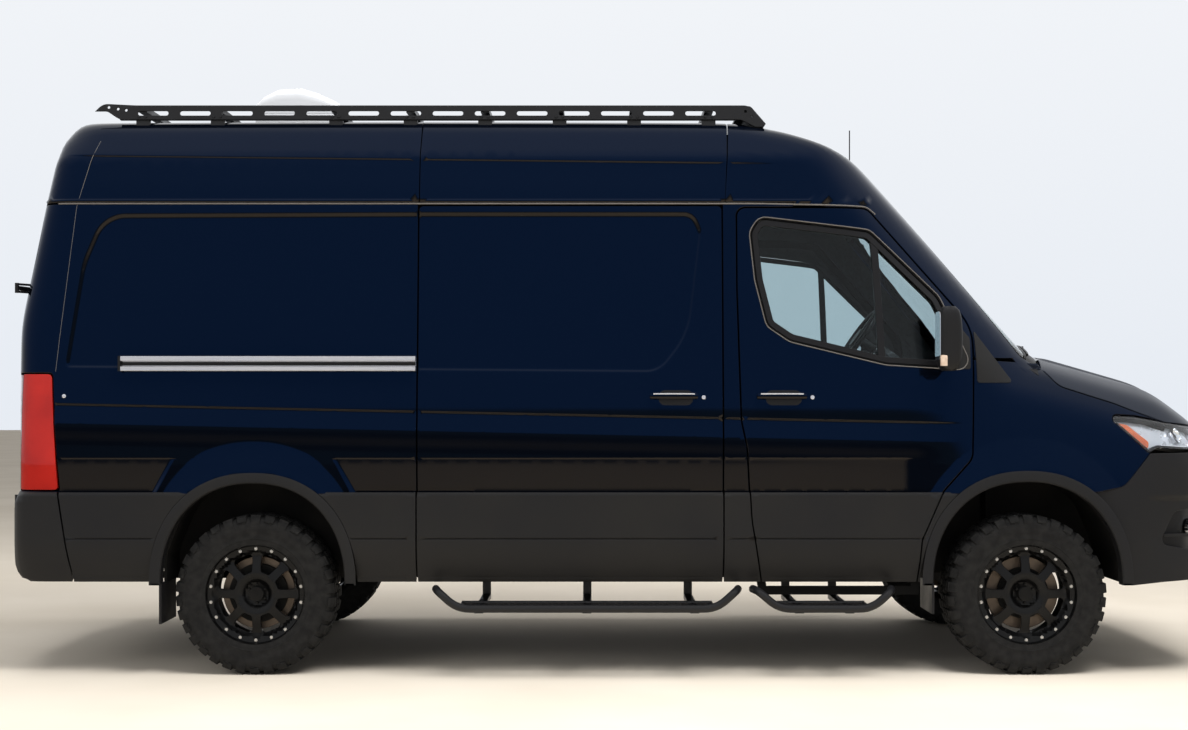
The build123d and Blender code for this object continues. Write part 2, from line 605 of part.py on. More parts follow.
def rim(side):
    barrel = ring_y(BARREL, side)
    disc = cylinder_y(RIM_INNER_R + 12, side * (DISC_OUT - SPOKE_T), side * DISC_OUT)
    for k in range(SPOKES):
        angle = math.radians((k + 0.5) * 360 / SPOKES)
        window = [(r * math.cos(angle) - t * math.sin(angle), r * math.sin(angle) + t * math.cos(angle), 12)
                  for r, t in SPOKE_WINDOW]
        disc = disc - prism_y(window, side * (DISC_OUT - SPOKE_T - 5), side * (DISC_OUT + 5))
    hub = cylinder_y(HUB_R, side * (DISC_OUT - SPOKE_T - 15), side * (DISC_OUT + 6))
    bore = cylinder_y(STUB_R + SEAT, side * (DISC_OUT - SPOKE_T - 20), side * (DISC_OUT - 8))
    return joined(barrel, disc, hub) - bore


# Tread blocks stand in two rows, half a pitch apart, on a carcass with flat facets
LUGS = 18
LUG_LAND = 0.62
LUG_GAP_HALF = 8
TREAD_HALF = 104
LUG_ROOT_R = TREAD_ROOT_R - 7
FACETS = 2 * LUGS


def faceted_ring(profile, facets):
    """A ring about the Y axis with flat facets; the rows are (distance of the flats, y)."""
    corner = 1 / math.cos(math.pi / facets)
    rings = []
    for r, y in profile:
        turns = [2 * math.pi * (k + 0.5) / facets for k in range(facets)]
        rings.append([Vector(r * corner * math.cos(t), y, r * corner * math.sin(t)) for t in turns])
    faces = []
    for ring, following in zip(rings, rings[1:] + rings[:1]):
        for k in range(facets):
            m = (k + 1) % facets
            faces.append(Face(Wire.make_polygon([ring[k], ring[m], following[m], following[k]], close=True)))
    return Solid(Shell(faces))


def lug_row(y0, y1, phase):
    """One row of tread blocks as a toothed ring; a block's middle meets the ground at phase 0."""
    rows = []
    pitch = 2 * math.pi / LUGS
    for k in range(LUGS):
        middle = (k + phase) * pitch - math.pi / 2
        for share, r in ((-0.5, LUG_ROOT_R), (-0.5, TYRE_R), (0, TYRE_R), (0.5, TYRE_R), (0.5, LUG_ROOT_R)):
            angle = middle + share * LUG_LAND * pitch
            rows.append((r * math.cos(angle), r * math.sin(angle)))
    return prism_y(rows, y0, y1)


def tyre(side):
    carcass = faceted_ring([(r, side * y) for r, y in TYRE], FACETS)
    outer = lug_row(side * LUG_GAP_HALF, side * TREAD_HALF, 0)
    inner = lug_row(-side * TREAD_HALF, -side * LUG_GAP_HALF, 0.5)
    hollow = cylinder_y(LUG_ROOT_R - 2, -TREAD_HALF - 5, TREAD_HALF + 5)
    return joined(carcass, outer - hollow, inner - hollow)


FORK_T = 34
FORK_REACH = 130
FORK_TOP_Z = AXLE_Z + FORK_REACH + SEAT
FORK_FOOT_Z = AXLE_Z - FORK_REACH - SEAT - FORK_T
FORK_ROOT_Y = KING_PIN_Y - 265
POST_Y = FRONT_HOUSE_Y - HOUSE_WALL - GAP
for corner, x, side in (("front_left", 0, 1), ("front_right", 0, -1),
                        ("rear_left", REAR_AXLE, 1), ("rear_right", REAR_AXLE, -1)):
    place = Location((x, side * TRACK_HALF, AXLE_Z))
    keep("rim_" + corner, rim(side).moved(place))
    keep("tyre_" + corner, tyre(side).moved(place))

STUB_END = TRACK_HALF + DISC_OUT - 8 - SEAT
FRONT_DRUM_R = FORK_REACH - 8
for name, side in (("knuckle_left", 1), ("knuckle_right", -1)):
    stub = cylinder_y(STUB_R, side * (KING_PIN_Y - 20), side * STUB_END)
    drum = cylinder_y(FRONT_DRUM_R, side * (TRACK_HALF - 60), side * (TRACK_HALF + DISC_OUT - SPOKE_T - 25))
    upright = Solid.make_cylinder(38, 2 * FORK_REACH, Plane((0, side * KING_PIN_Y, -FORK_REACH)))
    link = block(0, 40, side * (KING_PIN_Y - 20), side * (TRACK_HALF - 50), -60, 60)
    arm = block(-190, 0, side * (KING_PIN_Y - 16), side * (KING_PIN_Y + 16), -70, -40)
    keep(name, joined(stub, drum, upright, link, arm).moved(Location((0, 0, AXLE_Z))))

# Front subframe: a beam with a fork above and below each knuckle
beam = block(-150, 150, -KING_PIN_Y + FORK_REACH, KING_PIN_Y - FORK_REACH, 300, AXLE_Z)
for side in (-1, 1):
    for low in (FORK_FOOT_Z, FORK_TOP_Z):
        beam += block(-50, 50, side * FORK_ROOT_Y, side * (KING_PIN_Y + 40), low, low + FORK_T)
    beam += block(-50, 50, side * FORK_ROOT_Y, side * POST_Y, FORK_FOOT_Z, FORK_TOP_Z + FORK_T)
keep("front_axle", beam - block(-900, 900, -RAIL_Y - RAIL_W, RAIL_Y + RAIL_W, RAIL_FOOT, 700))

SPRING_Y = TRACK_HALF - 295
SPRING_HALF = 32
SPRING_LONG = 620
DRUM_R = 140
tube = cylinder_y(45, -TRACK_HALF + 40, TRACK_HALF - 40)
for side in (-1, 1):
    tube = tube + cylinder_y(STUB_R, side * KING_PIN_Y, side * STUB_END)
    tube = tube + cylinder_y(DRUM_R, side * (TRACK_HALF - 60),
                             side * (TRACK_HALF + DISC_OUT - SPOKE_T - 25))
    tube = tube + block(-SPRING_LONG, SPRING_LONG, side * SPRING_Y - SPRING_HALF, side * SPRING_Y + SPRING_HALF,
                        38, 66)
    for x in (-SPRING_LONG, SPRING_LONG):
        tube = tube + block(x - 25, x + 25, side * (RAIL_Y + RAIL_W), side * (SPRING_Y + SPRING_HALF), 60,
                            FLOOR_Z - AXLE_Z)
diff = Solid.make_sphere(150, Plane((0, 0, 0)), -90, 90, 360)
keep("rear_axle", joined(tube, diff).moved(Location((REAR_AXLE, 0, AXLE_Z))))

# Wheelhouse linings, with room for the front axle's upper forks
fork_room = block(-50 - GAP, 50 + GAP, -KING_PIN_Y - 60, KING_PIN_Y + 60, FORK_TOP_Z - GAP,
                  FORK_TOP_Z + FORK_T + GAP)
keep("wheelhouses", *[house - floor - SHELL - fork_room for house in houses], crumb=CRUMB)

# Cladding along the sides: proud of the body by MOULDING_DEPTH
CLAD_FOOT = SILL_Z
CLAD_END = REAR_FACE + 285
FRONT_CLAD_END = 480


def arch_ring(outline):
    return grown(outline, ARCH_LIP)


def cut_arches(shape, side):
    for outline in (REAR_ARCH, FRONT_ARCH):
        shape = shape - prism_y(outline, side * (BODY_HALF - 5), side * (MOULDING_Y + 5))
    return shape


def band(x0, x1):
    return [(x0, CLAD_FOOT), (x1, CLAD_FOOT), (x1, MOULDING_TOP), (x0, MOULDING_TOP)]


def body_clad(side, back):
    """The cladding that stays on the body: both ends of the side and the arch lips."""
    rows = prism_y(band(CLAD_END, back), side * BODY_HALF, side * MOULDING_Y)
    for outline in (REAR_ARCH, FRONT_ARCH):
        rows += prism_y(arch_ring(outline), side * BODY_HALF, side * MOULDING_Y)
    rows += prism_y(band(-600, -420), side * BODY_HALF, side * MOULDING_Y)
    rows = cut_arches(rows, side) - block(TAIL, 2000, -FAR, FAR, 0, CLAD_FOOT)
    rows = rows - block(FRONT_CLAD_END, 2000, -FAR, FAR, 0, 3000)
    return rows - prism_y(grown(FRONT_DOOR, GAP), side * BODY_HALF, side * FAR)


PILLAR_END = DOOR_BACK + 130
clad_left = body_clad(1, PILLAR_END)
clad_right = body_clad(-1, SLIDE_REAR - GAP)
clad_pillar = prism_y(band(SLIDE_FRONT + GAP, PILLAR_END), -BODY_HALF, -MOULDING_Y)
clad_pillar = clad_pillar - prism_y(grown(FRONT_DOOR, GAP), -FAR, 0)
keep("body_cladding", clad_left, clad_right, clad_pillar, crumb=CRUMB)
door_band = prism_y(band(DOOR_BACK, -400), BODY_HALF, MOULDING_Y)
door_band = door_band & prism_y(FRONT_DOOR, 0, FAR)
door_band = door_band - prism_y(grown(arch_ring(FRONT_ARCH), GAP), 0, FAR)
keep("cladding_left_door", door_band)
keep("cladding_right_door", mirrored(door_band))
keep("cladding_sliding_door", prism_y(band(SLIDE_REAR, SLIDE_FRONT), -BODY_HALF, -MOULDING_Y))

# Mud flaps behind the wheels
FLAP_T = 12
FLAP_IN = MOULDING_Y - 275
REAR_FLAP_Z = 246
FRONT_FLAP_Z = 294
flaps = []
for side in (-1, 1):
    for x, half, foot in ((REAR_AXLE, REAR_ARCH_HALF, REAR_FLAP_Z), (0, FRONT_ARCH_HALF, FRONT_FLAP_Z)):
        back = x - half - 4
        flaps.append(block(back - FLAP_T, back, side * FLAP_IN, side * (MOULDING_Y - 8), foot, SILL_Z))
keep("mud_flaps", *flaps)

# Sliding-door rail on the right side
RAIL_Z = (1441, 1512)
RAIL_X = (REAR_AXLE - 642, SLIDE_REAR - 8)
rail = block(*RAIL_X, -MOULDING_Y + 8, -BODY_HALF + 60, *RAIL_Z) - CABIN
keep("sliding_door_rail", rail - block(RAIL_X[0] + 20, RAIL_X[1] - 20, -FAR, -BODY_HALF - 2, 1466, 1486))

# Side steps: a tube hoop below a mesh tread, on brackets from the floor rails
STEP_Y = 1090
STEP_R = 19
STEP_Z = 330


def hoop(x0, x1, side):
    """A long tube that rises at both ends to the sill, with a tread inside it."""
    ends = 90
    rise = 80
    route = FilletPolyline(
        (x0, side * (STEP_Y - 110), STEP_Z + rise), (x0 + 20, side * STEP_Y, STEP_Z + rise),
        (x0 + ends + 20, side * STEP_Y, STEP_Z), (x1 - ends - 20, side * STEP_Y, STEP_Z),
        (x1 - 20, side * STEP_Y, STEP_Z + rise), (x1, side * (STEP_Y - 110), STEP_Z + rise), radius=45)
    tube = sweep(Plane(route @ 0, z_dir=route % 0) * Circle(STEP_R), path=route).solids()[0]
    tread = block(x0 + ends + 30, x1 - ends - 30, side * (STEP_Y - 150), side * (STEP_Y - 8),
                  STEP_Z + 2, STEP_Z + 16)
    pieces = [tube, tread]
    count = 3 if x1 - x0 > 1000 else 2
    for k in range(count):
        x = x0 + ends + 120 + k * (x1 - x0 - 2 * ends - 240) / (count - 1)
        pieces.append(block(x - 22, x + 22, side * (RAIL_Y + RAIL_W), side * (STEP_Y - 8),
                            STEP_Z - 24, STEP_Z + 4))
        pieces.append(block(x - 22, x + 22, side * (RAIL_Y + RAIL_W), side * (RAIL_Y + RAIL_W + 12),
                            STEP_Z - 24, RAIL_FOOT + 60))
    return joined(*pieces)


keep("side_steps", hoop(-2805, -1375, -1), hoop(-1305, -650, -1), hoop(-1305, -650, 1))

# Roof rack: slotted side rails on feet, cross-bars and a curved front fairing
RACK_Y = BODY_HALF - SHOULDER_LEAN - 8
RACK_T = 8
RACK_SLOTS = 14
RACK_SLOT_PITCH = 206
RACK_SLOT_LONG = 150
RACK_Z = (2676, 2746)
RACK_X = (REAR_AXLE - 833, -1207)
RACK_SIDE = [
    (RACK_X[0], 2716), (RACK_X[0] + 40, RACK_Z[1] + 8, 60), (RACK_X[0] + 200, RACK_Z[1], 100),
    (RACK_X[1] - 90, RACK_Z[1], 60), (RACK_X[1], 2640, 20), (RACK_X[1] - 60, 2640, 20),
    (RACK_X[1] - 130, RACK_Z[0], 40), (RACK_X[0] + 120, RACK_Z[0], 60), (RACK_X[0] + 60, 2716, 30),
]
pieces = []
for side in (-1, 1):
    plate = prism_y(RACK_SIDE, side * RACK_Y, side * (RACK_Y + RACK_T))
    for k in range(RACK_SLOTS):
        x = RACK_X[0] + 210 + k * RACK_SLOT_PITCH
        plate = plate - block(x, x + RACK_SLOT_LONG, side * (RACK_Y - 2), side * (RACK_Y + RACK_T + 2), 2696, 2718)
    lip = block(RACK_X[0] + 120, RACK_X[1] - 130, side * (RACK_Y - 26), side * (RACK_Y + RACK_T),
                RACK_Z[0], RACK_Z[0] + 6)
    pieces += [plate, lip]
FAN_X = REAR_AXLE + 45
FAN_HALF = 205
FAN_CLEAR = 75
BAR_PITCH = 365
bar_stations = [FAN_X - FAN_HALF - FAN_CLEAR, FAN_X - FAN_HALF - FAN_CLEAR - BAR_PITCH]
x = FAN_X + FAN_HALF + FAN_CLEAR + 20
while x < RACK_X[1] - 200:
    bar_stations.append(x)
    x += BAR_PITCH
for x in bar_stations:
    pieces.append(block(x - 22, x + 22, -RACK_Y, RACK_Y, RACK_Z[1] - 34, RACK_Z[1] - 6))
    for side in (-1, 1):
        pieces.append(block(x - 35, x + 35, side * (RACK_Y - 26), side * RACK_Y, 2600, RACK_Z[0] + 6))
pieces.append(prism_y([(RACK_X[1] - 130, RACK_Z[1] - 2), (RACK_X[1] - 80, RACK_Z[1] - 2, 20),
                       (RACK_X[1] - 8, 2655), (RACK_X[1] - 20, 2655), (RACK_X[1] - 84, RACK_Z[1] - 14, 15),
                       (RACK_X[1] - 130, RACK_Z[1] - 14)], -RACK_Y, RACK_Y))
rack = joined(*pieces)
keep("roof_rack", rack - CABIN, crumb=CRUMB)

# Roof fan
base = block(FAN_X - FAN_HALF, FAN_X + FAN_HALF, -FAN_HALF, FAN_HALF, 2690, 2790) - CABIN
lid = prism_y([
    (FAN_X - FAN_HALF - 8, 2786), (FAN_X - FAN_HALF - 8, 2850, 30), (FAN_X - 90, 2940, 90),
    (FAN_X + 30, 2946, 200), (FAN_X + FAN_HALF + 30, 2850, 30), (FAN_X + FAN_HALF + 30, 2786)],
    -FAN_HALF, FAN_HALF)
keep("roof_fan", joined(base, lid))

# Antenna on the roof's front edge
ANTENNA_X = -690
rod = Solid.make_cylinder(3, 330, Plane((ANTENNA_X, 0, 2415)))
foot = Solid.make_cone(26, 10, 50, Plane((ANTENNA_X, 0, 2440)))
keep("antenna", joined(rod, foot) - CABIN)

# Door mirrors
MIRROR_IN = MOULDING_Y + 40
MIRROR_OUT = MOULDING_Y + 162
mirror_shell = block(-455, -345, MIRROR_IN, MIRROR_OUT, 1440, 1740)
mirror_shell = mirror_shell.fillet(28, mirror_shell.edges())
mirror_arm = block(-420, -330, BODY_HALF - 45, MIRROR_IN + 10, 1450, 1500) - HULL
mirror_left = joined(mirror_shell, mirror_arm)
keep("mirror_left", mirror_left)
keep("mirror_right", mirrored(mirror_left))

# Dashboard with the column's shroud, and the steering wheel on its column
SEAT_Y = 450
WHEEL_CENTRE = Vector(-575, SEAT_Y, 1650)
WHEEL_TURN = math.radians(55)
WHEEL_TILT = Vector(-math.sin(WHEEL_TURN), 0, math.cos(WHEEL_TURN))
DOWN_COLUMN = WHEEL_TILT * -1
COLUMN_R = 26
COLUMN_LONG = 230
SHROUD_R = 52
SHROUD_START = 110
SHROUD_END = 420
wheel_plane = Plane(WHEEL_CENTRE, z_dir=WHEEL_TILT)
steering = Solid.make_torus(180, 15, wheel_plane)
spokes = wheel_plane * Box(350, 34, 14)
hub = wheel_plane * Cylinder(58, 30)
column = Solid.make_cylinder(COLUMN_R, COLUMN_LONG, Plane(WHEEL_CENTRE, z_dir=DOWN_COLUMN))
keep("steering_wheel", joined(steering, spokes, hub, column))

DASH_HALF = BODY_HALF - 145
dash = prism_y([(FIREWALL_X, 900), (FIREWALL_X, 1440), (-300, 1420, 60), (-420, 1330, 60),
                (-380, 1080, 60)], -DASH_HALF, DASH_HALF)
shroud = Solid.make_cylinder(SHROUD_R, SHROUD_END - SHROUD_START,
                             Plane(WHEEL_CENTRE + DOWN_COLUMN * SHROUD_START, z_dir=DOWN_COLUMN))
bore = Solid.make_cylinder(COLUMN_R + SEAT, COLUMN_LONG + GAP, Plane(WHEEL_CENTRE, z_dir=DOWN_COLUMN))
front_room = prism_y(grown(FRONT_ARCH, HOUSE_WALL + 1), -FAR, FAR)
keep("dashboard", joined(dash, shroud) - bore - SHELL - front_room)

SEAT_X = (-1300, -800)
SEAT_Z = (960, 1090)
SEAT_HALF = 240
STAND_HALF = 180
HEAD_HALF = 120
BACK_SIDE = [(-1330, 1040), (-1190, 1040), (-1360, 1700, 35), (-1480, 1700, 35)]
HEAD_SIDE = [(-1440, 1690), (-1360, 1690), (-1345, 1880, 25), (-1440, 1890, 25)]
seats = []
for y in (-SEAT_Y, SEAT_Y):
    pad = block(*SEAT_X, y - SEAT_HALF, y + SEAT_HALF, *SEAT_Z)
    back = prism_y(BACK_SIDE, y - SEAT_HALF + 10, y + SEAT_HALF - 10)
    head = prism_y(HEAD_SIDE, y - HEAD_HALF, y + HEAD_HALF)
    stand = block(SEAT_X[0] + 50, SEAT_X[1] - 50, y - STAND_HALF, y + STAND_HALF, FLOOR_Z + FLOOR_T,
                  SEAT_Z[0] + 5)
    seats.append(joined(pad, back, head, stand))
keep("seats", *seats)

os.makedirs("parts", exist_ok=True)
for name, shape in PARTS.items():
    export_step(shape.moved(Location((FRONT_AXLE_X, 0, 0))), "parts/" + name + ".step")
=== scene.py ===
import math

import bpy
import numpy as np
from mathutils import Matrix, Vector
from mathutils.geometry import delaunay_2d_cdt


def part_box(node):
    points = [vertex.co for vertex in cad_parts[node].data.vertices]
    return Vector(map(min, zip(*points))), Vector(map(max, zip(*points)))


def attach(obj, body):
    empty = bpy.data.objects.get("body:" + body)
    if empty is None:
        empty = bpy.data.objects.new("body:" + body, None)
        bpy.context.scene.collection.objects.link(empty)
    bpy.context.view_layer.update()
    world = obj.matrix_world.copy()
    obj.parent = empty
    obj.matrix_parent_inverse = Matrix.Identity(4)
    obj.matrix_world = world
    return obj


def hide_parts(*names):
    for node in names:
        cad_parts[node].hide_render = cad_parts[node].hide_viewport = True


# Camper van. Metres. While pieces are shaped, x is measured from the front axle and
# z from the ground; make() moves each mesh forward by AXLE_X into the van's own frame.

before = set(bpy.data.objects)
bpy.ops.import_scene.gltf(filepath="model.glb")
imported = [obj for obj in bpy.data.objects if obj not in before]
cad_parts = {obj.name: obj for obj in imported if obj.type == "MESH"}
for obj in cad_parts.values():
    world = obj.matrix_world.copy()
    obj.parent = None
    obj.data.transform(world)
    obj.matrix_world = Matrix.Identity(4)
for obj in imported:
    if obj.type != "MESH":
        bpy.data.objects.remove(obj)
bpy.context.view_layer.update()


def centre_of(node):
    low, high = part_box(node)
    return (low + high) / 2


AXLE_X = centre_of("tyre_front_right").x
REAR_X = centre_of("tyre_rear_right").x - AXLE_X
AXLE_Z = centre_of("tyre_front_right").z
TRACK = centre_of("tyre_front_left").y
RIGHT, LEFT = -1, 1
SIDES = ((LEFT, "left"), (RIGHT, "right"))


# Materials

def material(name, colour, rough=0.5, metal=0.0, **inputs):
    """A Principled material with its constant values set on the shader's own sockets."""
    mat = bpy.data.materials.new(name)
    mat.use_nodes = True
    shader = mat.node_tree.nodes["Principled BSDF"]
    shader.inputs["Base Color"].default_value = (*colour, 1)
    shader.inputs["Roughness"].default_value = rough
    shader.inputs["Metallic"].default_value = metal
    for key, value in inputs.items():
        shader.inputs[key.replace("_", " ")].default_value = value
    return mat


def node(mat, kind, **settings):
    made = mat.node_tree.nodes.new(kind)
    for key, value in settings.items():
        if key in made.inputs:
            made.inputs[key].default_value = value
        else:
            setattr(made, key, value)
    return made


def link(mat, source, target):
    mat.node_tree.links.new(source, target)


def shader_of(mat):
    return mat.node_tree.nodes["Principled BSDF"]


def object_noise(mat, scale, detail=4.0, stretch=(1, 1, 1)):
    """Noise in the object's own coordinates, stretched along an axis where asked."""
    place = node(mat, "ShaderNodeTexCoord")
    mapping = node(mat, "ShaderNodeMapping")
    mapping.inputs["Scale"].default_value = stretch
    noise = node(mat, "ShaderNodeTexNoise", Scale=scale, Detail=detail)
    link(mat, place.outputs["Object"], mapping.inputs["Vector"])
    link(mat, mapping.outputs["Vector"], noise.inputs["Vector"])
    return noise


def grain(mat, scale, strength, distance=0.001, detail=4.0, stretch=(1, 1, 1)):
    """Fine surface relief from noise."""
    noise = object_noise(mat, scale, detail, stretch)
    bump = node(mat, "ShaderNodeBump", Strength=strength, Distance=distance)
    link(mat, noise.outputs["Fac"], bump.inputs["Height"])
    link(mat, bump.outputs["Normal"], shader_of(mat).inputs["Normal"])


def vary(mat, socket, scale, low, high, detail=4.0, stretch=(1, 1, 1)):
    """Lets noise move one of the shader's values between two ends."""
    noise = object_noise(mat, scale, detail, stretch)
    ramp = node(mat, "ShaderNodeValToRGB")
    ramp.color_ramp.elements[0].position = 0.35
    ramp.color_ramp.elements[1].position = 0.65
    ends = (low, high) if isinstance(low, tuple) else ((low,) * 3, (high,) * 3)
    for element, value in zip(ramp.color_ramp.elements, ends):
        element.color = (*value, 1)
    link(mat, noise.outputs["Fac"], ramp.inputs["Fac"])
    link(mat, ramp.outputs["Color"], shader_of(mat).inputs[socket])


NAVY_TINT = (0.08, 0.28, 0.9, 1)
M = {}
M["paint"] = material("paint_navy_black", (0.0012, 0.0020, 0.0045), 0.07,
                      Specular_IOR_Level=0.30, Specular_Tint=NAVY_TINT)
vary(M["paint"], "Roughness", 1.6, 0.05, 0.10)


def painted_reflection_by_facing(mat, stops):
    """Tints the gloss by how far the surface faces up, from (upward share, colour) stops: a painted
    reflection, warm ground below and blue sky above.
    """
    facing_up = node(mat, "ShaderNodeNewGeometry")
    split = node(mat, "ShaderNodeSeparateXYZ")
    span = node(mat, "ShaderNodeMapRange")
    span.inputs["From Min"].default_value = -1.0
    ramp = node(mat, "ShaderNodeValToRGB")
    while len(ramp.color_ramp.elements) < len(stops):
        ramp.color_ramp.elements.new(0.5)
    for element, (up, colour) in zip(ramp.color_ramp.elements, stops):
        element.position = (up + 1) / 2
        element.color = (*colour, 1)
    link(mat, facing_up.outputs["Normal"], split.inputs[0])
    link(mat, split.outputs["Z"], span.inputs["Value"])
    link(mat, span.outputs["Result"], ramp.inputs["Fac"])
    link(mat, ramp.outputs["Color"], shader_of(mat).inputs["Specular Tint"])


# Painted reflection: the gloss turns warm where the paint faces down and blue where it faces up, standing for
# ground and sky.
painted_reflection_by_facing(M["paint"], [(-0.20, (0.95, 0.82, 0.66)), (-0.06, (0.62, 0.55, 0.46)), (-0.02, (0.05, 0.07, 0.08)),
                  (0.044, (0.04, 0.08, 0.12)), (0.066, (0.055, 0.24, 0.80)), (0.55, (0.10, 0.30, 0.90)),
                  (0.95, (0.60, 0.74, 1.0))])
grain(M["paint"], 420, 0.02, 0.0004)
M["bonnet"] = material("paint_satin_bonnet", (0.010, 0.013, 0.021), 0.34, Specular_IOR_Level=0.24)
vary(M["bonnet"], "Roughness", 3.0, 0.30, 0.40)
grain(M["bonnet"], 900, 0.05, 0.0003)
M["grey"] = material("plastic_dark_grey", (0.009, 0.009, 0.010), 0.46, Specular_IOR_Level=0.22)
vary(M["grey"], "Base Color", 2.2, (0.008, 0.008, 0.009), (0.011, 0.0106, 0.0104))
grain(M["grey"], 1100, 0.25, 0.0004)
M["black"] = material("plastic_black", (0.005, 0.005, 0.006), 0.42, Specular_IOR_Level=0.25)
vary(M["black"], "Roughness", 9.0, 0.36, 0.48)
grain(M["black"], 1300, 0.2, 0.0003)
M["seal"] = material("rubber_seal", (0.003, 0.003, 0.003), 0.7, Specular_IOR_Level=0.1)
grain(M["seal"], 700, 0.2, 0.0003)
M["rubber"] = material("tyre_rubber", (0.010, 0.010, 0.010), 0.75, Specular_IOR_Level=0.22)
vary(M["rubber"], "Base Color", 30.0, (0.006, 0.006, 0.0062), (0.014, 0.0138, 0.0135), 8.0)
grain(M["rubber"], 500, 0.35, 0.0008)
M["rim"] = material("rim_satin_black", (0.0022, 0.0022, 0.0024), 0.30, Specular_IOR_Level=0.20)
vary(M["rim"], "Roughness", 14.0, 0.26, 0.38)
grain(M["rim"], 1500, 0.08, 0.0002)
M["bolt"] = material("bolt_steel", (0.55, 0.54, 0.52), 0.32, 1.0)
vary(M["bolt"], "Roughness", 200.0, 0.24, 0.42)
M["bright"] = material("aluminium_bright", (0.66, 0.66, 0.69), 0.30, 1.0)
vary(M["bright"], "Roughness", 30.0, 0.22, 0.38, 4.0, (0.05, 3, 3))
grain(M["bright"], 300, 0.05, 0.0002, 3.0, (0.02, 4, 4))
M["steel"] = material("steel_black_coat", (0.009, 0.009, 0.010), 0.34, Specular_IOR_Level=0.28)
vary(M["steel"], "Roughness", 12.0, 0.30, 0.44)
grain(M["steel"], 1600, 0.15, 0.0003)
M["chassis"] = material("chassis_black", (0.007, 0.007, 0.007), 0.75, Specular_IOR_Level=0.15)
vary(M["chassis"], "Base Color", 6.0, (0.005, 0.005, 0.005), (0.012, 0.011, 0.010), 8.0)
grain(M["chassis"], 90, 0.3, 0.001)
M["white"] = material("plastic_white", (0.62, 0.63, 0.65), 0.36, Specular_IOR_Level=0.3)
vary(M["white"], "Roughness", 8.0, 0.27, 0.38)
grain(M["white"], 800, 0.05, 0.0003)
M["fan_grey"] = material("plastic_light_grey", (0.42, 0.43, 0.44), 0.45)
vary(M["fan_grey"], "Roughness", 8.0, 0.40, 0.52)
M["red"] = material("lens_red", (0.40, 0.008, 0.005), 0.12, Specular_IOR_Level=0.25,
                    Coat_Weight=0.15, Coat_Roughness=0.03)
vary(M["red"], "Base Color", 5.0, (0.34, 0.008, 0.005), (0.44, 0.013, 0.007))
# Painted highlight: a light beige-grey for thin edges, drip rails and seam lines, standing for the glint
# along them.
M["edge"] = material("trim_edge_painted_highlight", (0.11, 0.10, 0.09), 0.35)
vary(M["edge"], "Roughness", 30.0, 0.28, 0.42)
M["red_dark"] = material("lens_red_dark", (0.16, 0.008, 0.006), 0.08, Coat_Weight=1.0)
vary(M["red_dark"], "Base Color", 5.0, (0.13, 0.006, 0.005), (0.18, 0.010, 0.008))
M["clear"] = material("lens_clear", (0.93, 0.95, 0.97), 0.02, Transmission_Weight=1.0, IOR=1.35)
vary(M["clear"], "Roughness", 4.0, 0.01, 0.03)
M["amber"] = material("lens_amber", (0.75, 0.13, 0.02), 0.1, Transmission_Weight=0.2,
                      Coat_Weight=1.0)
vary(M["amber"], "Base Color", 40.0, (0.70, 0.11, 0.015), (0.80, 0.16, 0.02))
M["disc"] = material("brake_disc", (0.10, 0.075, 0.055), 0.42, 0.6)
vary(M["disc"], "Roughness", 20.0, 0.34, 0.52)
M["lamp_inside"] = material("lamp_inside", (0.62, 0.64, 0.68), 0.28, 0.55)
vary(M["lamp_inside"], "Roughness", 12.0, 0.22, 0.34)
M["repeater"] = material("lens_repeater", (0.62, 0.47, 0.36), 0.12, Coat_Weight=0.5)
vary(M["repeater"], "Base Color", 60.0, (0.58, 0.43, 0.32), (0.66, 0.51, 0.40))
M["chrome"] = material("reflector_chrome", (0.80, 0.81, 0.83), 0.12, 1.0)
vary(M["chrome"], "Roughness", 20.0, 0.08, 0.18)
M["glass"] = material("glass_tinted", (0.62, 0.72, 0.74), 0.0, Transmission_Weight=1.0, IOR=1.25)
vary(M["glass"], "Roughness", 2.0, 0.0, 0.012)
M["lining"] = material("cabin_lining", (0.05, 0.05, 0.053), 0.8, Specular_IOR_Level=0.2)
vary(M["lining"], "Base Color", 40.0, (0.042, 0.042, 0.045), (0.058, 0.058, 0.061))
grain(M["lining"], 600, 0.4, 0.0006)
M["fabric"] = material("seat_fabric", (0.03, 0.03, 0.034), 0.9, Sheen_Weight=0.4)
M["mirror"] = material("mirror_glass", (0.42, 0.44, 0.47), 0.02, 1.0)
vary(M["mirror"], "Roughness", 3.0, 0.01, 0.03)


def weave(mat, pitch):
    """Crossed threads as relief, with the colour a little lighter on top of each thread: painted light on the
    thread tops and painted shade between them.
    """
    place = node(mat, "ShaderNodeTexCoord")
    heights = []
    for turn in ("X", "Z"):
        wave = node(mat, "ShaderNodeTexWave", Scale=1 / pitch, Distortion=0.4)
        wave.bands_direction = turn
        link(mat, place.outputs["Object"], wave.inputs["Vector"])
        heights.append(wave.outputs["Fac"])
    both = node(mat, "ShaderNodeMath", operation="MULTIPLY")
    link(mat, heights[0], both.inputs[0])
    link(mat, heights[1], both.inputs[1])
    bump = node(mat, "ShaderNodeBump", Strength=0.5, Distance=0.0006)
    link(mat, both.outputs[0], bump.inputs["Height"])
    link(mat, bump.outputs["Normal"], shader_of(mat).inputs["Normal"])
    # Painted shade: the colour follows the threads' height, darker in the hollows between them.
    ramp = node(mat, "ShaderNodeValToRGB")
    ramp.color_ramp.elements[0].color = (0.022, 0.022, 0.026, 1)
    ramp.color_ramp.elements[1].color = (0.05, 0.05, 0.056, 1)
    link(mat, both.outputs[0], ramp.inputs["Fac"])
    link(mat, ramp.outputs["Color"], shader_of(mat).inputs["Base Color"])


weave(M["fabric"], 0.03)


# The body's surface: a field that is about the distance outside the skin

def smax(a, b, k):
    """The larger of two distances, rounded over a blend of size k."""
    h = np.maximum(k - np.abs(a - b), 0) / k
    return np.maximum(a, b) + h ** 3 * k / 6


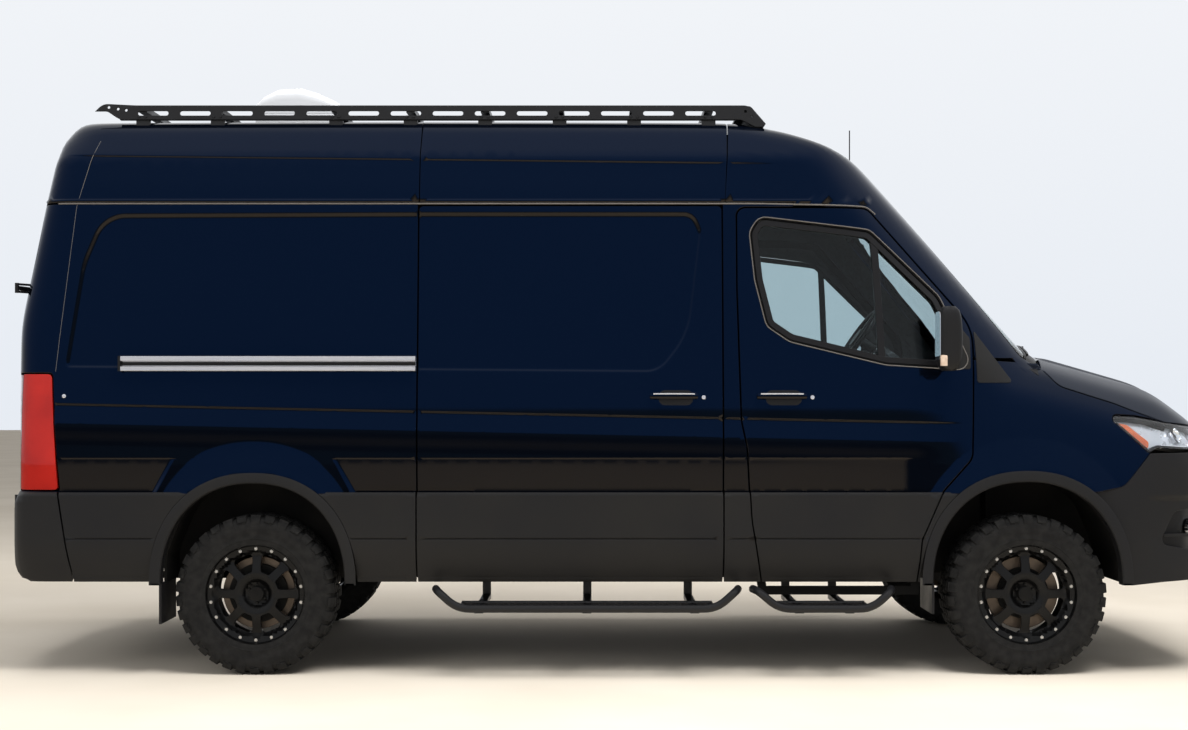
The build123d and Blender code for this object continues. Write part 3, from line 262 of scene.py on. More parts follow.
def chain(u, v, rows):
    """Distance outside an open convex outline of (u, v, corner radius) rows."""
    total = turn = None
    for (u0, v0, *bend), (u1, v1, *_) in zip(rows, rows[1:]):
        angle = math.atan2(v1 - v0, u1 - u0)
        value = -(u - u0) * math.sin(angle) + (v - v0) * math.cos(angle)
        if total is None:
            total = value
        else:
            radius = bend[0] if bend else 0.02
            k = max(6 * radius * (1 - math.cos((angle - turn) / 2)), 1e-4)
            total = smax(total, value, k)
        turn = angle
    return total


CROWN_Z, CROWN_DROP = 2.722, 0.105
SECTION = [(0.723, 2.668), (0.863, 2.470, 0.10), (0.898, 2.245), (0.975, 1.262, 1.0),
           (0.985, 1.0, 0.5), (0.983, 0.3)]
REAR_SIDE = [(-4.870, 0.4), (-4.870, 1.660, 0.9), (-4.700, 2.560, 0.16), (-4.550, 2.804)]
REAR_BULGE = 0.070
ROOF_FRONT = [(-1.8, 2.774), (-1.15, 2.690, 1.4), (-0.640, 2.450)]
SCREEN_TOP = (-0.640, 2.450)
SCREEN_FOOT = (0.205, 1.506)
SCREEN_TURN = math.atan2(SCREEN_FOOT[1] - SCREEN_TOP[1], SCREEN_FOOT[0] - SCREEN_TOP[0])
WRAP = [(0, 0), (0.30, 0, 1.5), (0.76, -0.105, 0.3), (0.925, -0.33, 0.4), (1.2, -1.5)]
NOSE_SIDE = [(-0.4, 1.683), (0.70, 1.375, 0.5), (0.925, 1.205, 0.22), (1.004, 0.96, 0.2),
             (1.004, 0.60, 0.08), (0.96, 0.40)]
NOSE_SHOULDER = [(0, 0), (0.62, 0, 0.8), (0.80, -0.055, 0.25), (0.93, -0.20, 0.25), (0.99, -0.5)]
NOSE_PLAN = [(-1.0, 0.985), (0.48, 0.985, 0.5), (0.84, 0.905, 0.26), (0.965, 0.64, 0.26),
             (1.004, 0.30, 0.9), (1.004, -0.2)]
HALF = 0.985


def screen_height(x, z):
    """Distance off the windscreen's plane."""
    return -(x - SCREEN_TOP[0]) * math.sin(SCREEN_TURN) + (z - SCREEN_TOP[1]) * math.cos(SCREEN_TURN)


def body_field(p):
    x, y, z = p[:, 0], np.abs(p[:, 1]), p[:, 2]
    side = chain(y, z, SECTION)
    top = z - (CROWN_Z - CROWN_DROP * y * y - 0.006 * ((x + 2.9) / 1.6) ** 2)
    rear = chain(x - REAR_BULGE * (y / HALF) ** 2, z, REAR_SIDE)
    fade = np.clip((-0.5 - x) / 0.7, 0, 1)
    front = chain(x, z + CROWN_DROP * y * y * fade, ROOF_FRONT)
    wrap = chain(y, screen_height(x, z), WRAP)
    cabin = smax(smax(side, rear, 0.19), smax(top, front, 0.03), 0.07)
    cabin = smax(cabin, wrap, 0.06)
    cabin = smax(cabin, x - 0.52, 0.05)
    slope = chain(x, z + 0.05 * y * y, NOSE_SIDE)
    nose = smax(chain(y, slope, NOSE_SHOULDER), chain(x, y, NOSE_PLAN), 0.05)
    nose = smax(nose, side, 0.03)
    nose = nose + 0.25 * np.maximum(-0.35 - x, 0) ** 2
    return -smax(-cabin, -nose, 0.03 * np.clip((0.97 - y) / 0.06, 0.02, 1))


def gradient(function, p, step=5e-4):
    parts = []
    for axis in range(3):
        shift = np.zeros(3)
        shift[axis] = step
        parts.append((function(p + shift) - function(p - shift)) / (2 * step))
    return np.stack(parts, axis=1)


def unit(v):
    return v / np.maximum(np.linalg.norm(v, axis=1, keepdims=True), 1e-12)


# Ways to unroll the skin: rays(uv) gives a start and a direction for each point, and
# flat(points) gives back uv. All of them are for the left half or straight across.

REAR_TURN, REAR_ROUND = -4.60, 0.20
NOSE_TURN, NOSE_ROUND = 0.45, 0.535
QUARTER = math.pi / 2


class Belt:
    """Round the van at a height: along the side, round the corners, to the middle of each end."""

    @staticmethod
    def rays(uv):
        s, z = uv[:, 0], uv[:, 1]
        start = np.stack([np.clip(s, REAR_TURN, NOSE_TURN), np.full_like(s, HALF - REAR_ROUND), z], 1)
        angle = np.zeros_like(s)
        for sign, turn, radius in ((-1, REAR_TURN, REAR_ROUND), (1, NOSE_TURN, NOSE_ROUND)):
            past = sign * (s - turn)
            here = past > 0
            start[here, 1] = HALF - radius - np.maximum(past[here] - radius * QUARTER, 0)
            angle[here] = sign * np.minimum(past[here] / radius, QUARTER)
        aim = np.stack([np.sin(angle), np.cos(angle), np.zeros_like(s)], 1)
        return start, aim

    @staticmethod
    def flat(p):
        x, y, z = p[:, 0], p[:, 1], p[:, 2]
        s = x.copy()
        for sign, turn, radius in ((-1, REAR_TURN, REAR_ROUND), (1, NOSE_TURN, NOSE_ROUND)):
            past = sign * (x - turn)
            inner = HALF - radius
            angle = np.arctan2(past, np.maximum(y - inner, 1e-9))
            bent = turn + sign * (radius * angle + np.maximum(inner - y, 0))
            s = np.where(past > 0, bent, s)
        return np.stack([s, z], 1)


LID_Z, LID_REAR, LID_FRONT, LID_SCALE = 1.9, -4.3, -1.45, 0.8


class Lid:
    """Over the roof and down the windscreen, fanned about an axis inside the van."""

    @staticmethod
    def rays(uv):
        s, turn = uv[:, 0], uv[:, 1] / LID_SCALE
        start = np.stack([np.clip(s, LID_REAR, LID_FRONT), 0 * s, np.full_like(s, LID_Z)], 1)
        angle = (np.minimum(s - LID_REAR, 0) + np.maximum(s - LID_FRONT, 0)) / LID_SCALE
        aim = np.stack([np.cos(turn) * np.sin(angle), np.sin(turn), np.cos(turn) * np.cos(angle)], 1)
        return start, aim

    @staticmethod
    def flat(p):
        x, y, z = p[:, 0], p[:, 1], p[:, 2] - LID_Z
        over = np.minimum(x - LID_REAR, 0) + np.maximum(x - LID_FRONT, 0)
        angle = np.where(over == 0, 0, np.arctan2(over, z))
        reach = np.hypot(over, z)
        s = np.clip(x, LID_REAR, LID_FRONT) + angle * LID_SCALE
        return np.stack([s, np.arctan2(y, reach) * LID_SCALE], 1)


class Hood:
    """Over the bonnet, fanned from a point inside the engine bay."""
    CENTRE = np.array([0.30, 0.0, 0.50])

    @staticmethod
    def rays(uv):
        aim = np.stack([uv[:, 0], uv[:, 1], np.ones(len(uv))], 1)
        return np.repeat(Hood.CENTRE[None], len(uv), 0), unit(aim)

    @staticmethod
    def flat(p):
        d = p - Hood.CENTRE
        return d[:, :2] / d[:, 2:3]


class Tail:
    """Straight at the rear, in y and z."""

    @staticmethod
    def rays(uv):
        start = np.stack([np.full(len(uv), -4.2), uv[:, 0], uv[:, 1]], 1)
        return start, np.repeat([[-1.0, 0, 0]], len(uv), 0)

    @staticmethod
    def flat(p):
        return p[:, 1:]


class Top:
    """Straight up, in x and y."""

    @staticmethod
    def rays(uv):
        start = np.stack([uv[:, 0], uv[:, 1], np.full(len(uv), 0.9)], 1)
        return start, np.repeat([[0, 0, 1.0]], len(uv), 0)

    @staticmethod
    def flat(p):
        return p[:, :2]


RAY_REACH, HALVINGS = 2.6, 26


def land(way, uv, relief=None, field=body_field):
    """Points and normals where each ray leaves the skin, pressed in by the relief."""
    uv = np.asarray(uv, float)
    start, aim = way.rays(uv)
    low = np.zeros(len(uv))
    high = np.full(len(uv), RAY_REACH)
    for _ in range(HALVINGS):
        middle = (low + high) / 2
        outside = field(start + aim * middle[:, None]) > 0
        high = np.where(outside, middle, high)
        low = np.where(outside, low, middle)
    p = start + aim * high[:, None]
    normal = unit(gradient(field, p))
    if relief is not None:
        p0 = p
        p = p0 - normal * relief(p0)[:, None]
        normal = unit(normal + gradient(relief, p0, 1e-3))
    return p, normal


def onto(way_from, uv, way_to):
    """Carries an outline drawn one way into another way's coordinates."""
    return way_to.flat(land(way_from, np.asarray(uv, float))[0])


# Flat outlines

def rounded(rows, step=0.02, closed=True):
    """Points along an outline of (u, v, corner radius) rows, no further apart than the step."""
    pts = [np.array(r[:2], float) for r in rows]
    bends = [r[2] if len(r) > 2 else 0 for r in rows]
    out = []
    count = len(pts)
    for i in range(count):
        p = pts[i]
        if bends[i] <= 0 or (not closed and i in (0, count - 1)):
            out.append(p)
            continue
        a, b = pts[i - 1] - p, pts[(i + 1) % count] - p
        la, lb = np.linalg.norm(a), np.linalg.norm(b)
        a, b = a / la, b / lb
        half = math.acos(float(np.clip(a @ b, -1, 1))) / 2
        reach = min(bends[i] / math.tan(half), la * 0.49, lb * 0.49)
        radius = reach * math.tan(half)
        middle = p + unit((a + b)[None])[0] * radius / math.sin(half)
        t0 = math.atan2(*(p + a * reach - middle)[::-1])
        t1 = math.atan2(*(p + b * reach - middle)[::-1])
        sweep = (t1 - t0 + math.pi) % (2 * math.pi) - math.pi
        parts = max(3, int(abs(sweep) * radius / step * 1.6) + 2)
        for t in np.linspace(t0, t0 + sweep, parts):
            out.append(middle + radius * np.array([math.cos(t), math.sin(t)]))
    return spaced(out, step, closed)


def spaced(points, step, closed=True):
    """The same path with points added so that none is further than the step from the next."""
    out = []
    ends = points[1:] + points[:1] if closed else points[1:]
    for a, b in zip(points, ends):
        gap = np.linalg.norm(np.subtract(b, a))
        if gap < 1e-7:
            continue
        parts = max(1, math.ceil(gap / step))
        out += [np.asarray(a) + (np.subtract(b, a)) * k / parts for k in range(parts)]
    if not closed:
        out.append(np.asarray(points[-1]))
    return np.array(out)


def area(loop):
    nxt = np.roll(loop, -1, 0)
    return float(np.sum(loop[:, 0] * nxt[:, 1] - nxt[:, 0] * loop[:, 1]) / 2)


def edge_normals(loop):
    """Unit directions to the right of a closed path at each of its points."""
    ahead = unit(np.roll(loop, -1, 0) - loop)
    behind = np.roll(ahead, 1, 0)
    middle = unit(ahead + behind)
    stretch = 1 / np.clip(np.sum(middle * ahead, 1), 0.5, 1)
    return np.stack([middle[:, 1], -middle[:, 0]], 1) * stretch[:, None]


def offset(loop, by):
    """A closed outline moved outwards by a distance, inwards if negative."""
    turned = loop if area(loop) > 0 else loop[::-1]
    return turned + edge_normals(turned) * by


def inside(points, loop):
    x, y = points[:, 0][:, None], points[:, 1][:, None]
    x0, y0 = loop[:, 0][None], loop[:, 1][None]
    nxt = np.roll(loop, -1, 0)
    x1, y1 = nxt[:, 0][None], nxt[:, 1][None]
    crosses = (y0 > y) != (y1 > y)
    with np.errstate(divide="ignore", invalid="ignore"):
        at = (x1 - x0) * (y - y0) / (y1 - y0) + x0
    return np.sum(crosses & (x < at), axis=1) % 2 == 1


def depth_in(points, loop):
    """Distance inside an outline; negative outside."""
    a = loop
    b = np.roll(loop, -1, 0) - a
    best = np.full(len(points), 1e9)
    for (ax, ay), (bx, by) in zip(a, b):
        px, py = points[:, 0] - ax, points[:, 1] - ay
        t = np.clip((px * bx + py * by) / (bx * bx + by * by + 1e-15), 0, 1)
        best = np.minimum(best, np.hypot(px - t * bx, py - t * by))
    return np.where(inside(points, loop), best, -best)


def loops_of(faces, points):
    """The closed edges of a patch of triangles, with the patch on their left."""
    seen = set()
    for tri in faces:
        for a, b in zip(tri, tri[1:] + tri[:1]):
            seen.add((a, b))
    nxt = {a: b for a, b in seen if (b, a) not in seen}
    loops = []
    while nxt:
        start, b = nxt.popitem()
        path = [start]
        while b != start:
            path.append(b)
            b = nxt.pop(b)
        loops.append(points[path])
    return loops


def cut(outlines, wanted, step=0.02):
    """The edges of the region where wanted(points) is true, out of crossing outlines."""
    verts, edges = [], []
    for loop in outlines:
        first = len(verts)
        verts += [Vector(p) for p in loop]
        edges += [(first + k, first + (k + 1) % len(loop)) for k in range(len(loop))]
    found = delaunay_2d_cdt(verts, edges, [], 0, 1e-5)
    points = np.array([tuple(v) for v in found[0]])
    tris = [list(f) for f in found[2]]
    middles = np.array([points[t].mean(0) for t in tris])
    kept = [t if area(points[t]) > 0 else t[::-1] for t, ok in zip(tris, wanted(middles)) if ok]
    return [spaced(list(loop), step) for loop in loops_of(kept, points)]


def within(outer, *holes):
    def test(points):
        ok = inside(points, outer)
        for hole in holes:
            ok &= ~inside(points, hole)
        return ok
    return test


def region(outer, *holes, step=0.02, least=0.0):
    """The parts of an outline that its holes leave, without slivers."""
    found = cut([outer, *holes], within(outer, *holes), step)
    return [loop for loop in found if abs(area(loop)) > least]


def largest(loops):
    return sorted(loops, key=lambda q: -abs(area(q)))[:1]


def rect(x0, x1, z0, z1, *bend):
    return [(x0, z0, *bend), (x1, z0, *bend), (x1, z1, *bend), (x0, z1, *bend)]


def mirrored(half):
    """One half of an outline across the van, and its mirror image run back."""
    return np.concatenate([half, (half * (1, -1))[::-1]])


def poly(*rows, step=0.02):
    return rounded(list(rows), step)


# The longest link of an extra row, and the shares of the step that rows and grid keep clear
ROW_PITCH, ROW_ROOM, GRID_ROOM = 0.09, 0.3, 0.55


def fill(loops, step, extra=()):
    """Triangles over a region with holes: its loops, a grid inside them and extra lines."""
    edge = np.concatenate(loops)
    low, high = edge.min(0), edge.max(0)
    xs = np.arange(low[0] + step / 2, high[0], step)
    ys = np.arange(low[1] + step / 2, high[1], step)
    grid = np.stack(np.meshgrid(xs, ys), -1).reshape(-1, 2)

    def clear(points, others, room):
        cells = {}
        for k, (a, b) in enumerate(others):
            cells.setdefault((int(a // room), int(b // room)), []).append(k)
        keep = np.ones(len(points), bool)
        for k, (a, b) in enumerate(points):
            i, j = int(a // room), int(b // room)
            near = [m for u in (i - 1, i, i + 1) for v in (j - 1, j, j + 1) for m in cells.get((u, v), ())]
            if near:
                keep[k] = np.min(np.hypot(*(others[near] - (a, b)).T)) > room
        return keep

    def in_region(points):
        ok = np.zeros(len(points), bool)
        for loop in loops:
            ok ^= inside(points, loop)
        return ok

    edges = []
    first = 0
    for loop in loops:
        edges += [(first + k, first + (k + 1) % len(loop)) for k in range(len(loop))]
        first += len(loop)
    rows = []
    for row in extra:
        row = np.asarray(row, float)
        ok = in_region(row) & clear(row, edge, step * ROW_ROOM)
        index = first + np.cumsum(ok) - 1
        joined = ok[:-1] & ok[1:] & in_region((row[:-1] + row[1:]) / 2)
        joined &= np.hypot(*(row[1:] - row[:-1]).T) < ROW_PITCH
        edges += [(int(index[k]), int(index[k]) + 1) for k in np.nonzero(joined)[0]]
        rows.append(row[ok])
        first += int(ok.sum())
    fixed = np.concatenate([edge, *rows])
    grid = grid[in_region(grid) & clear(grid, fixed, step * GRID_ROOM)] if len(grid) else grid
    points = np.concatenate([edge, *rows, grid])
    found = delaunay_2d_cdt([Vector(p) for p in points], edges, [], 0, 1e-7)
    out = np.array([tuple(v) for v in found[0]])
    tris = np.array([tuple(f) for f in found[2]])
    middles = out[tris].mean(1)
    ok = np.zeros(len(tris), bool)
    for loop in loops:
        ok ^= inside(middles, loop)
    tris = tris[ok]
    a, b, c = out[tris[:, 0]], out[tris[:, 1]], out[tris[:, 2]]
    turn = (b[:, 0] - a[:, 0]) * (c[:, 1] - a[:, 1]) - (b[:, 1] - a[:, 1]) * (c[:, 0] - a[:, 0])
    tris[turn < 0] = tris[turn < 0][:, ::-1]
    where = np.full(len(out), -1)
    for new, olds in enumerate(found[3]):
        for old in olds:
            if old < len(edge):
                where[new] = old
    return out, tris, where


# Making pieces

def make(name, points, faces, mats, body, slot, normals=None, slots=None, smooth=True, stands_for=()):
    """One mesh object in the van's frame, riding on a body; it may stand for CAD nodes."""
    mesh = bpy.data.meshes.new(name)
    shifted = np.asarray(points, float) + (AXLE_X, 0, 0)
    mesh.from_pydata([tuple(p) for p in shifted], [], [tuple(int(i) for i in f) for f in faces])
    for mat in mats:
        mesh.materials.append(mat)
    if slots is not None:
        mesh.polygons.foreach_set("material_index", np.asarray(slots, np.int32))
    mesh.polygons.foreach_set("use_smooth", np.full(len(mesh.polygons), smooth))
    if normals is not None:
        mesh.normals_split_custom_set([tuple(n) for n in normals])
    obj = bpy.data.objects.new(name, mesh)
    bpy.context.scene.collection.objects.link(obj)
    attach(obj, body)
    if stands_for:
        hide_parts(*([stands_for] if isinstance(stands_for, str) else stands_for))
    return obj


INNER_STEP = 0.08


def panel(name, way, loops, mats, side=LEFT, body="root", slot="paint", step=0.02, thick=0.05,
          relief=None, extra=(), edge=0.003, lift=0.0, field=body_field, stands_for=()):
    """A closed panel of the skin: rounded edges, a rim as deep as the wall, and an inner face.

    Side is LEFT as drawn or RIGHT mirrored. Mats are the outer and the inner material."""
    loops = [loop if (area(loop) > 0) == (k == 0) else loop[::-1]
             for k, loop in enumerate(sorted(loops, key=lambda q: -abs(area(q))))]
    inset = [loop - edge_normals(loop) * edge for loop in loops]
    flat, tris, where = fill(inset, step, extra)
    outer, outer_n = land(way, flat, relief, field)
    outer = outer + outer_n * lift
    count = len(outer)
    position = {int(w): k for k, w in enumerate(where) if w >= 0}
    points, faces, marks, corner_normals = [outer], [tris], [np.zeros(len(tris), int)], [outer_n[tris]]
    used = count
    inner_index = []
    first = 0
    for loop in loops:
        size = len(loop)
        top = np.array([position[first + k] for k in range(size)])
        first += size
        rim, rim_n = land(way, loop, relief, field)
        rim = rim + rim_n * lift
        out_dir = rim - outer[top]
        out_dir = unit(out_dir - rim_n * np.sum(out_dir * rim_n, 1)[:, None])
        corner = outer[top] - rim_n * edge
        ring = top
        ring_n = outer_n[top]
        for angle, deep in ((45, None), (90, None), (90, thick)):
            t = math.radians(angle)
            here_n = rim_n * math.cos(t) + out_dir * math.sin(t)
            if deep is None:
                here = corner + edge * here_n
            else:
                here = corner + edge * out_dir - rim_n * (deep - edge)
            index = used + np.arange(size)
            used += size
            points.append(here)
            nxt = np.roll(index, -1)
            quads = np.stack([ring, index, nxt, np.roll(ring, -1)], 1)
            faces.append(quads)
            marks.append(np.zeros(size, int))
            corner_normals.append(np.stack([ring_n, here_n, np.roll(here_n, -1, 0),
                                            np.roll(ring_n, -1, 0)], 1))
            ring, ring_n = index, here_n
        inner_index.append(ring)
    flat_in, tris_in, where_in = fill(loops, INNER_STEP)
    back, back_n = land(way, flat_in, relief, field)
    back = back + back_n * (lift - thick)
    index_in = np.concatenate(inner_index)
    remap = np.where(where_in >= 0, index_in[np.maximum(where_in, 0)], -1)
    fresh = remap < 0
    remap[fresh] = used + np.arange(fresh.sum())
    points.append(back[fresh])
    tris_in = tris_in[:, ::-1]
    faces.append(remap[tris_in])
    marks.append(np.ones(len(tris_in), int))
    corner_normals.append(-back_n[tris_in])
    points = np.concatenate(points)
    a, b, c = outer[tris[:, 0]], outer[tris[:, 1]], outer[tris[:, 2]]
    handed = np.sum(np.cross(b - a, c - a) * outer_n[tris[:, 0]])
    all_faces, all_normals, all_marks = [], [], []
    for block, block_n, block_m in zip(faces, corner_normals, marks):
        if (side == RIGHT) != (handed < 0):
            block, block_n = block[:, ::-1], block_n[:, ::-1]
        all_faces += block.tolist()
        all_normals.append(block_n.reshape(-1, 3))
        all_marks.append(block_m)
    normals = np.concatenate(all_normals)
    if side == RIGHT:
        points = points * (1, -1, 1)
        normals = normals * (1, -1, 1)
    return make(name, points, all_faces, mats, body, slot, normals, np.concatenate(all_marks),
                stands_for=stands_for)


SKIN = [M["paint"], M["lining"]]
CLAD = [M["grey"], M["black"]]


# Lines of the body in side view: x, z and corner radius

GAP = 0.006
DOOR_BACK = -1.372
SLIDE_REAR, SLIDE_FRONT = REAR_X + 0.772, -1.446
PAINT_FOOT = 0.860
GUTTER_Z = 2.245
FRONT_DOOR = [
    (DOOR_BACK, 2.223, 0.04), (DOOR_BACK, 1.829, 0.9), (-1.355, 1.210, 0.3), (-1.327, 1.068, 0.2),
    (-1.308, 0.738, 0.5), (-1.251, 0.398), (-0.528, 0.398), (-0.510, 0.643, 0.06),
    (-0.410, 0.870, 0.15), (-0.265, 1.030, 0.08), (-0.243, 1.660, 0.2), (-0.742, 2.223, 0.06),
]
DOOR_WINDOW = [
    (-1.305, 2.106, 0.06), (-1.262, 2.172, 0.05), (-0.741, 2.110, 0.06), (-0.407, 1.796, 0.1),
    (-0.262, 1.455, 0.04), (-0.670, 1.480, 0.2), (-1.123, 1.590, 0.1), (-1.228, 1.662, 0.06),
    (-1.281, 1.877, 0.2),
]
RECESS_REAR = [(-4.571, 1.455, 0.02), (-2.8, 1.445), (-2.8, 2.203), (-4.405, 2.195, 0.16),
               (-4.500, 1.960, 0.4)]
RECESS_SLIDE = [(-3.0, 1.443), (-1.744, 1.433, 0.14), (-1.601, 1.614, 0.5), (-1.540, 2.115, 0.09),
                (-1.580, 2.203, 0.08), (-3.0, 2.203)]
RECESS_LEFT = [(-4.571, 1.455, 0.02), (-1.744, 1.433, 0.14), (-1.601, 1.614, 0.5),
               (-1.540, 2.115, 0.09), (-1.580, 2.203, 0.08), (-4.405, 2.195, 0.16),
               (-4.500, 1.960, 0.4)]
TAIL_LAMP = [(-5.2, 0.876), (-4.594, 0.876, 0.01), (-4.6315, 1.430, 0.02), (-5.2, 1.430)]
REAR_DOOR_HALF = 0.860
REAR_DOOR = [(-0.2, 0.640), (REAR_DOOR_HALF, 0.640, 0.04), (REAR_DOOR_HALF, 2.050, 0.8),
             (REAR_DOOR_HALF - 0.075, 2.440, 0.09), (-0.2, 2.467)]
SEAM_REAR, SEAM_FRONT = SLIDE_REAR, -1.429
SKIN_REAR = -4.75

# Wheel arches: each is a rounded curve of half-width a and height b over its centre
ARCH_POWER = 2.2
ARCH_Z = 0.43
REAR_ARCH = {"x": REAR_X - 0.004, "inner": (0.435, 0.480), "lip": (0.488, 0.530), "flare": (0.530, 0.680)}
FRONT_ARCH = {"x": -0.008, "inner": (0.447, 0.487), "lip": (0.498, 0.540), "flare": (0.560, 0.695)}


def arch(which, size, parts=56, foot=0.2):
    """The arch's curve in side view, run straight down to a foot below the sill."""
    a, b = which[size]
    t = np.linspace(0, math.pi, parts)
    power = 2 / ARCH_POWER
    x = which["x"] + a * np.sign(np.cos(t)) * np.abs(np.cos(t)) ** power
    z = ARCH_Z + b * np.sin(t) ** power
    curve = np.stack([x, z], 1)
    return np.concatenate([curve, [[x[-1], foot], [x[0], foot]]])


def arch_reach(x, z, which, size):
    a, b = which[size]
    u, v = np.abs(x - which["x"]) / a, np.maximum(z - ARCH_Z, 0) / b
    return (u ** ARCH_POWER + v ** ARCH_POWER) ** (1 / ARCH_POWER)


def smooth(t):
    t = np.clip(t, 0, 1)
    return t * t * (3 - 2 * t)


def belt_z(x):
    return 1.262 - 0.021 * (x + 3.4)


FLARE_OUT = 0.024
FACET_TOP, FACET_IN, FACET_FADE = 1.030, 0.012, 0.028


def facet_reach(z):
    """How far from a wheel's centre the facet above the moulding starts."""
    return 0.455 - 0.55 * (z - 0.87)


def side_relief(recess_loop):
    """How far the side's pressings stand in from the skin."""
    def relief(p):
        x, z = p[:, 0], p[:, 2]
        below = belt_z(x) - z
        fade = smooth((-0.30 - x) / 0.25) * smooth((x + 4.72) / 0.1)
        step = 0.006 * smooth(below / 0.005) - 0.012 * np.clip((below - 0.005) / 0.085, 0, 1)
        step = step + 0.006 * smooth((below - 0.09) / 0.12)
        total = step * fade
        near = np.ones(len(x))
        for which in (REAR_ARCH, FRONT_ARCH):
            lip = arch_reach(x, z, which, "lip") - 1
            flare = 1 - arch_reach(x, z, which, "flare")
            share = np.clip(flare / np.maximum(lip + flare, 1e-6), 0, 1)
            share = np.where(lip < 0, 1, share)
            total = total - FLARE_OUT * share
            near *= smooth((np.abs(x - which["x"]) - facet_reach(z)) / FACET_FADE)
        facet = FACET_IN * np.clip((FACET_TOP - z) / 0.16, 0, 1) + 0.002 * smooth((FACET_TOP - z) / 0.006)
        total = total + facet * near * smooth((-0.55 - x) / 0.05) * smooth((x + 4.70) / 0.05)
        if recess_loop is not None:
            total = total + 0.010 * smooth(depth_in(np.stack([x, z], 1), recess_loop) / 0.018)
        return total
    return relief


def along(xs, zs):
    return np.stack(np.broadcast_arrays(xs, zs), -1).reshape(-1, 2)


def side_rows(x0, x1, recess_loop=None):
    """Extra points along the pressings, so that their edges are crisp."""
    xs = np.arange(x0, x1, 0.025)
    rows = [along(xs, belt_z(xs) - drop) for drop in (-0.004, 0.0, 0.0025, 0.005, 0.012, 0.05, 0.086, 0.095)]
    rows += [along(xs, FACET_TOP + rise) for rise in (0.004, 0.0, -0.003, -0.007)]
    for which in (REAR_ARCH, FRONT_ARCH):
        for grow in (0.99, 1.0, 1.012):
            a, b = which["flare"]
            rows.append(arch({"x": which["x"], "flare": (a * grow, b * grow)}, "flare", 72)[:-2])
        zs = np.arange(0.865, FACET_TOP - 0.008, 0.012)
        for side_way in (-1, 1):
            for by in (0.0, 0.007, 0.014, 0.021, FACET_FADE):
                rows.append(along(which["x"] + side_way * (facet_reach(zs) + by), zs))
    if recess_loop is not None:
        rows += [offset(recess_loop, by) for by in (0.003, -0.001, -0.006, -0.012, -0.017, -0.022)]
    return rows


# Sides, sliding door, pillar and front doors

def ring_of(rows, grow=0.0, step=0.02):
    loop = rounded(rows, step)
    return offset(loop, grow) if grow else loop


door_hole = ring_of(FRONT_DOOR, GAP)
lamp_hole = ring_of(TAIL_LAMP, 0.004)
rear_door_ring = ring_of(REAR_DOOR)
rear_hole = ring_of(REAR_DOOR, GAP)
REAR_EDGE = float(onto(Tail, rear_hole[rear_hole[:, 0] > 0.3], Belt)[:, 0].max())


def rear_gap_line(z0, z1):
    """The rear door's gap on the corner, in the belt's coordinates, from one height to another."""
    zs = np.linspace(z0, z1, 30)
    edge = rounded(REAR_DOOR[1:4], 0.01, closed=False)
    ys = np.interp(zs, edge[:, 1], edge[:, 0]) + GAP
    return onto(Tail, np.stack([ys, zs], 1), Belt)


def side_region(front_x):
    """The painted side, from its front edge back round the corner to the rear door."""
    gap_line = rear_gap_line(PAINT_FOOT, GUTTER_Z - 0.003)
    outer = spaced([(front_x, PAINT_FOOT), (front_x, GUTTER_Z - 0.003), *gap_line[::-1]], 0.02)
    arch_hole = offset(arch(REAR_ARCH, "lip"), -0.008)
    return region(outer, arch_hole, lamp_hole, door_hole, least=0.001)


HEADER_END = -1.102
for side, word, front_x, rows in ((RIGHT, "right", SLIDE_REAR - GAP, RECESS_REAR),
                                  (LEFT, "left", HEADER_END, RECESS_LEFT)):
    recess = rounded(rows, 0.02)
    panel("side_panel_" + word, Belt, side_region(front_x), SKIN, side, relief=side_relief(recess),
          extra=side_rows(SKIN_REAR, front_x, recess), stands_for="side_" + word)

recess = rounded(RECESS_SLIDE, 0.02)
slide_loop = rounded([(SLIDE_REAR, PAINT_FOOT), (SLIDE_FRONT, PAINT_FOOT), (SLIDE_FRONT, 2.233, 0.02),
                      (SLIDE_REAR, 2.233, 0.02)])
panel("sliding_door_panel", Belt, [slide_loop], SKIN, RIGHT, relief=side_relief(recess),
      extra=side_rows(SLIDE_REAR, SLIDE_FRONT, recess), stands_for="sliding_door")
pillar_box = spaced(rect(SLIDE_FRONT + GAP, HEADER_END, PAINT_FOOT, GUTTER_Z - 0.003), 0.02)
panel("pillar_panel_right", Belt, region(pillar_box, door_hole), SKIN, RIGHT, relief=side_relief(None),
      extra=side_rows(SLIDE_FRONT, -1.25), stands_for="pillar_right")

door_loop = ring_of(FRONT_DOOR)
window_loop = ring_of(DOOR_WINDOW)
door_box = spaced(rect(-2, 0, PAINT_FOOT, 3), 0.05)
front_lip = offset(arch(FRONT_ARCH, "lip"), -0.008)
door_region = cut([door_loop, door_box, window_loop, front_lip],
                  lambda p: inside(p, door_loop) & within(door_box, window_loop, front_lip)(p))
for side, word in SIDES:
    panel("door_panel_" + word, Belt, door_region, SKIN, side, "door_" + word, relief=side_relief(None),
          extra=side_rows(DOOR_BACK, -0.25), stands_for="door_" + word)

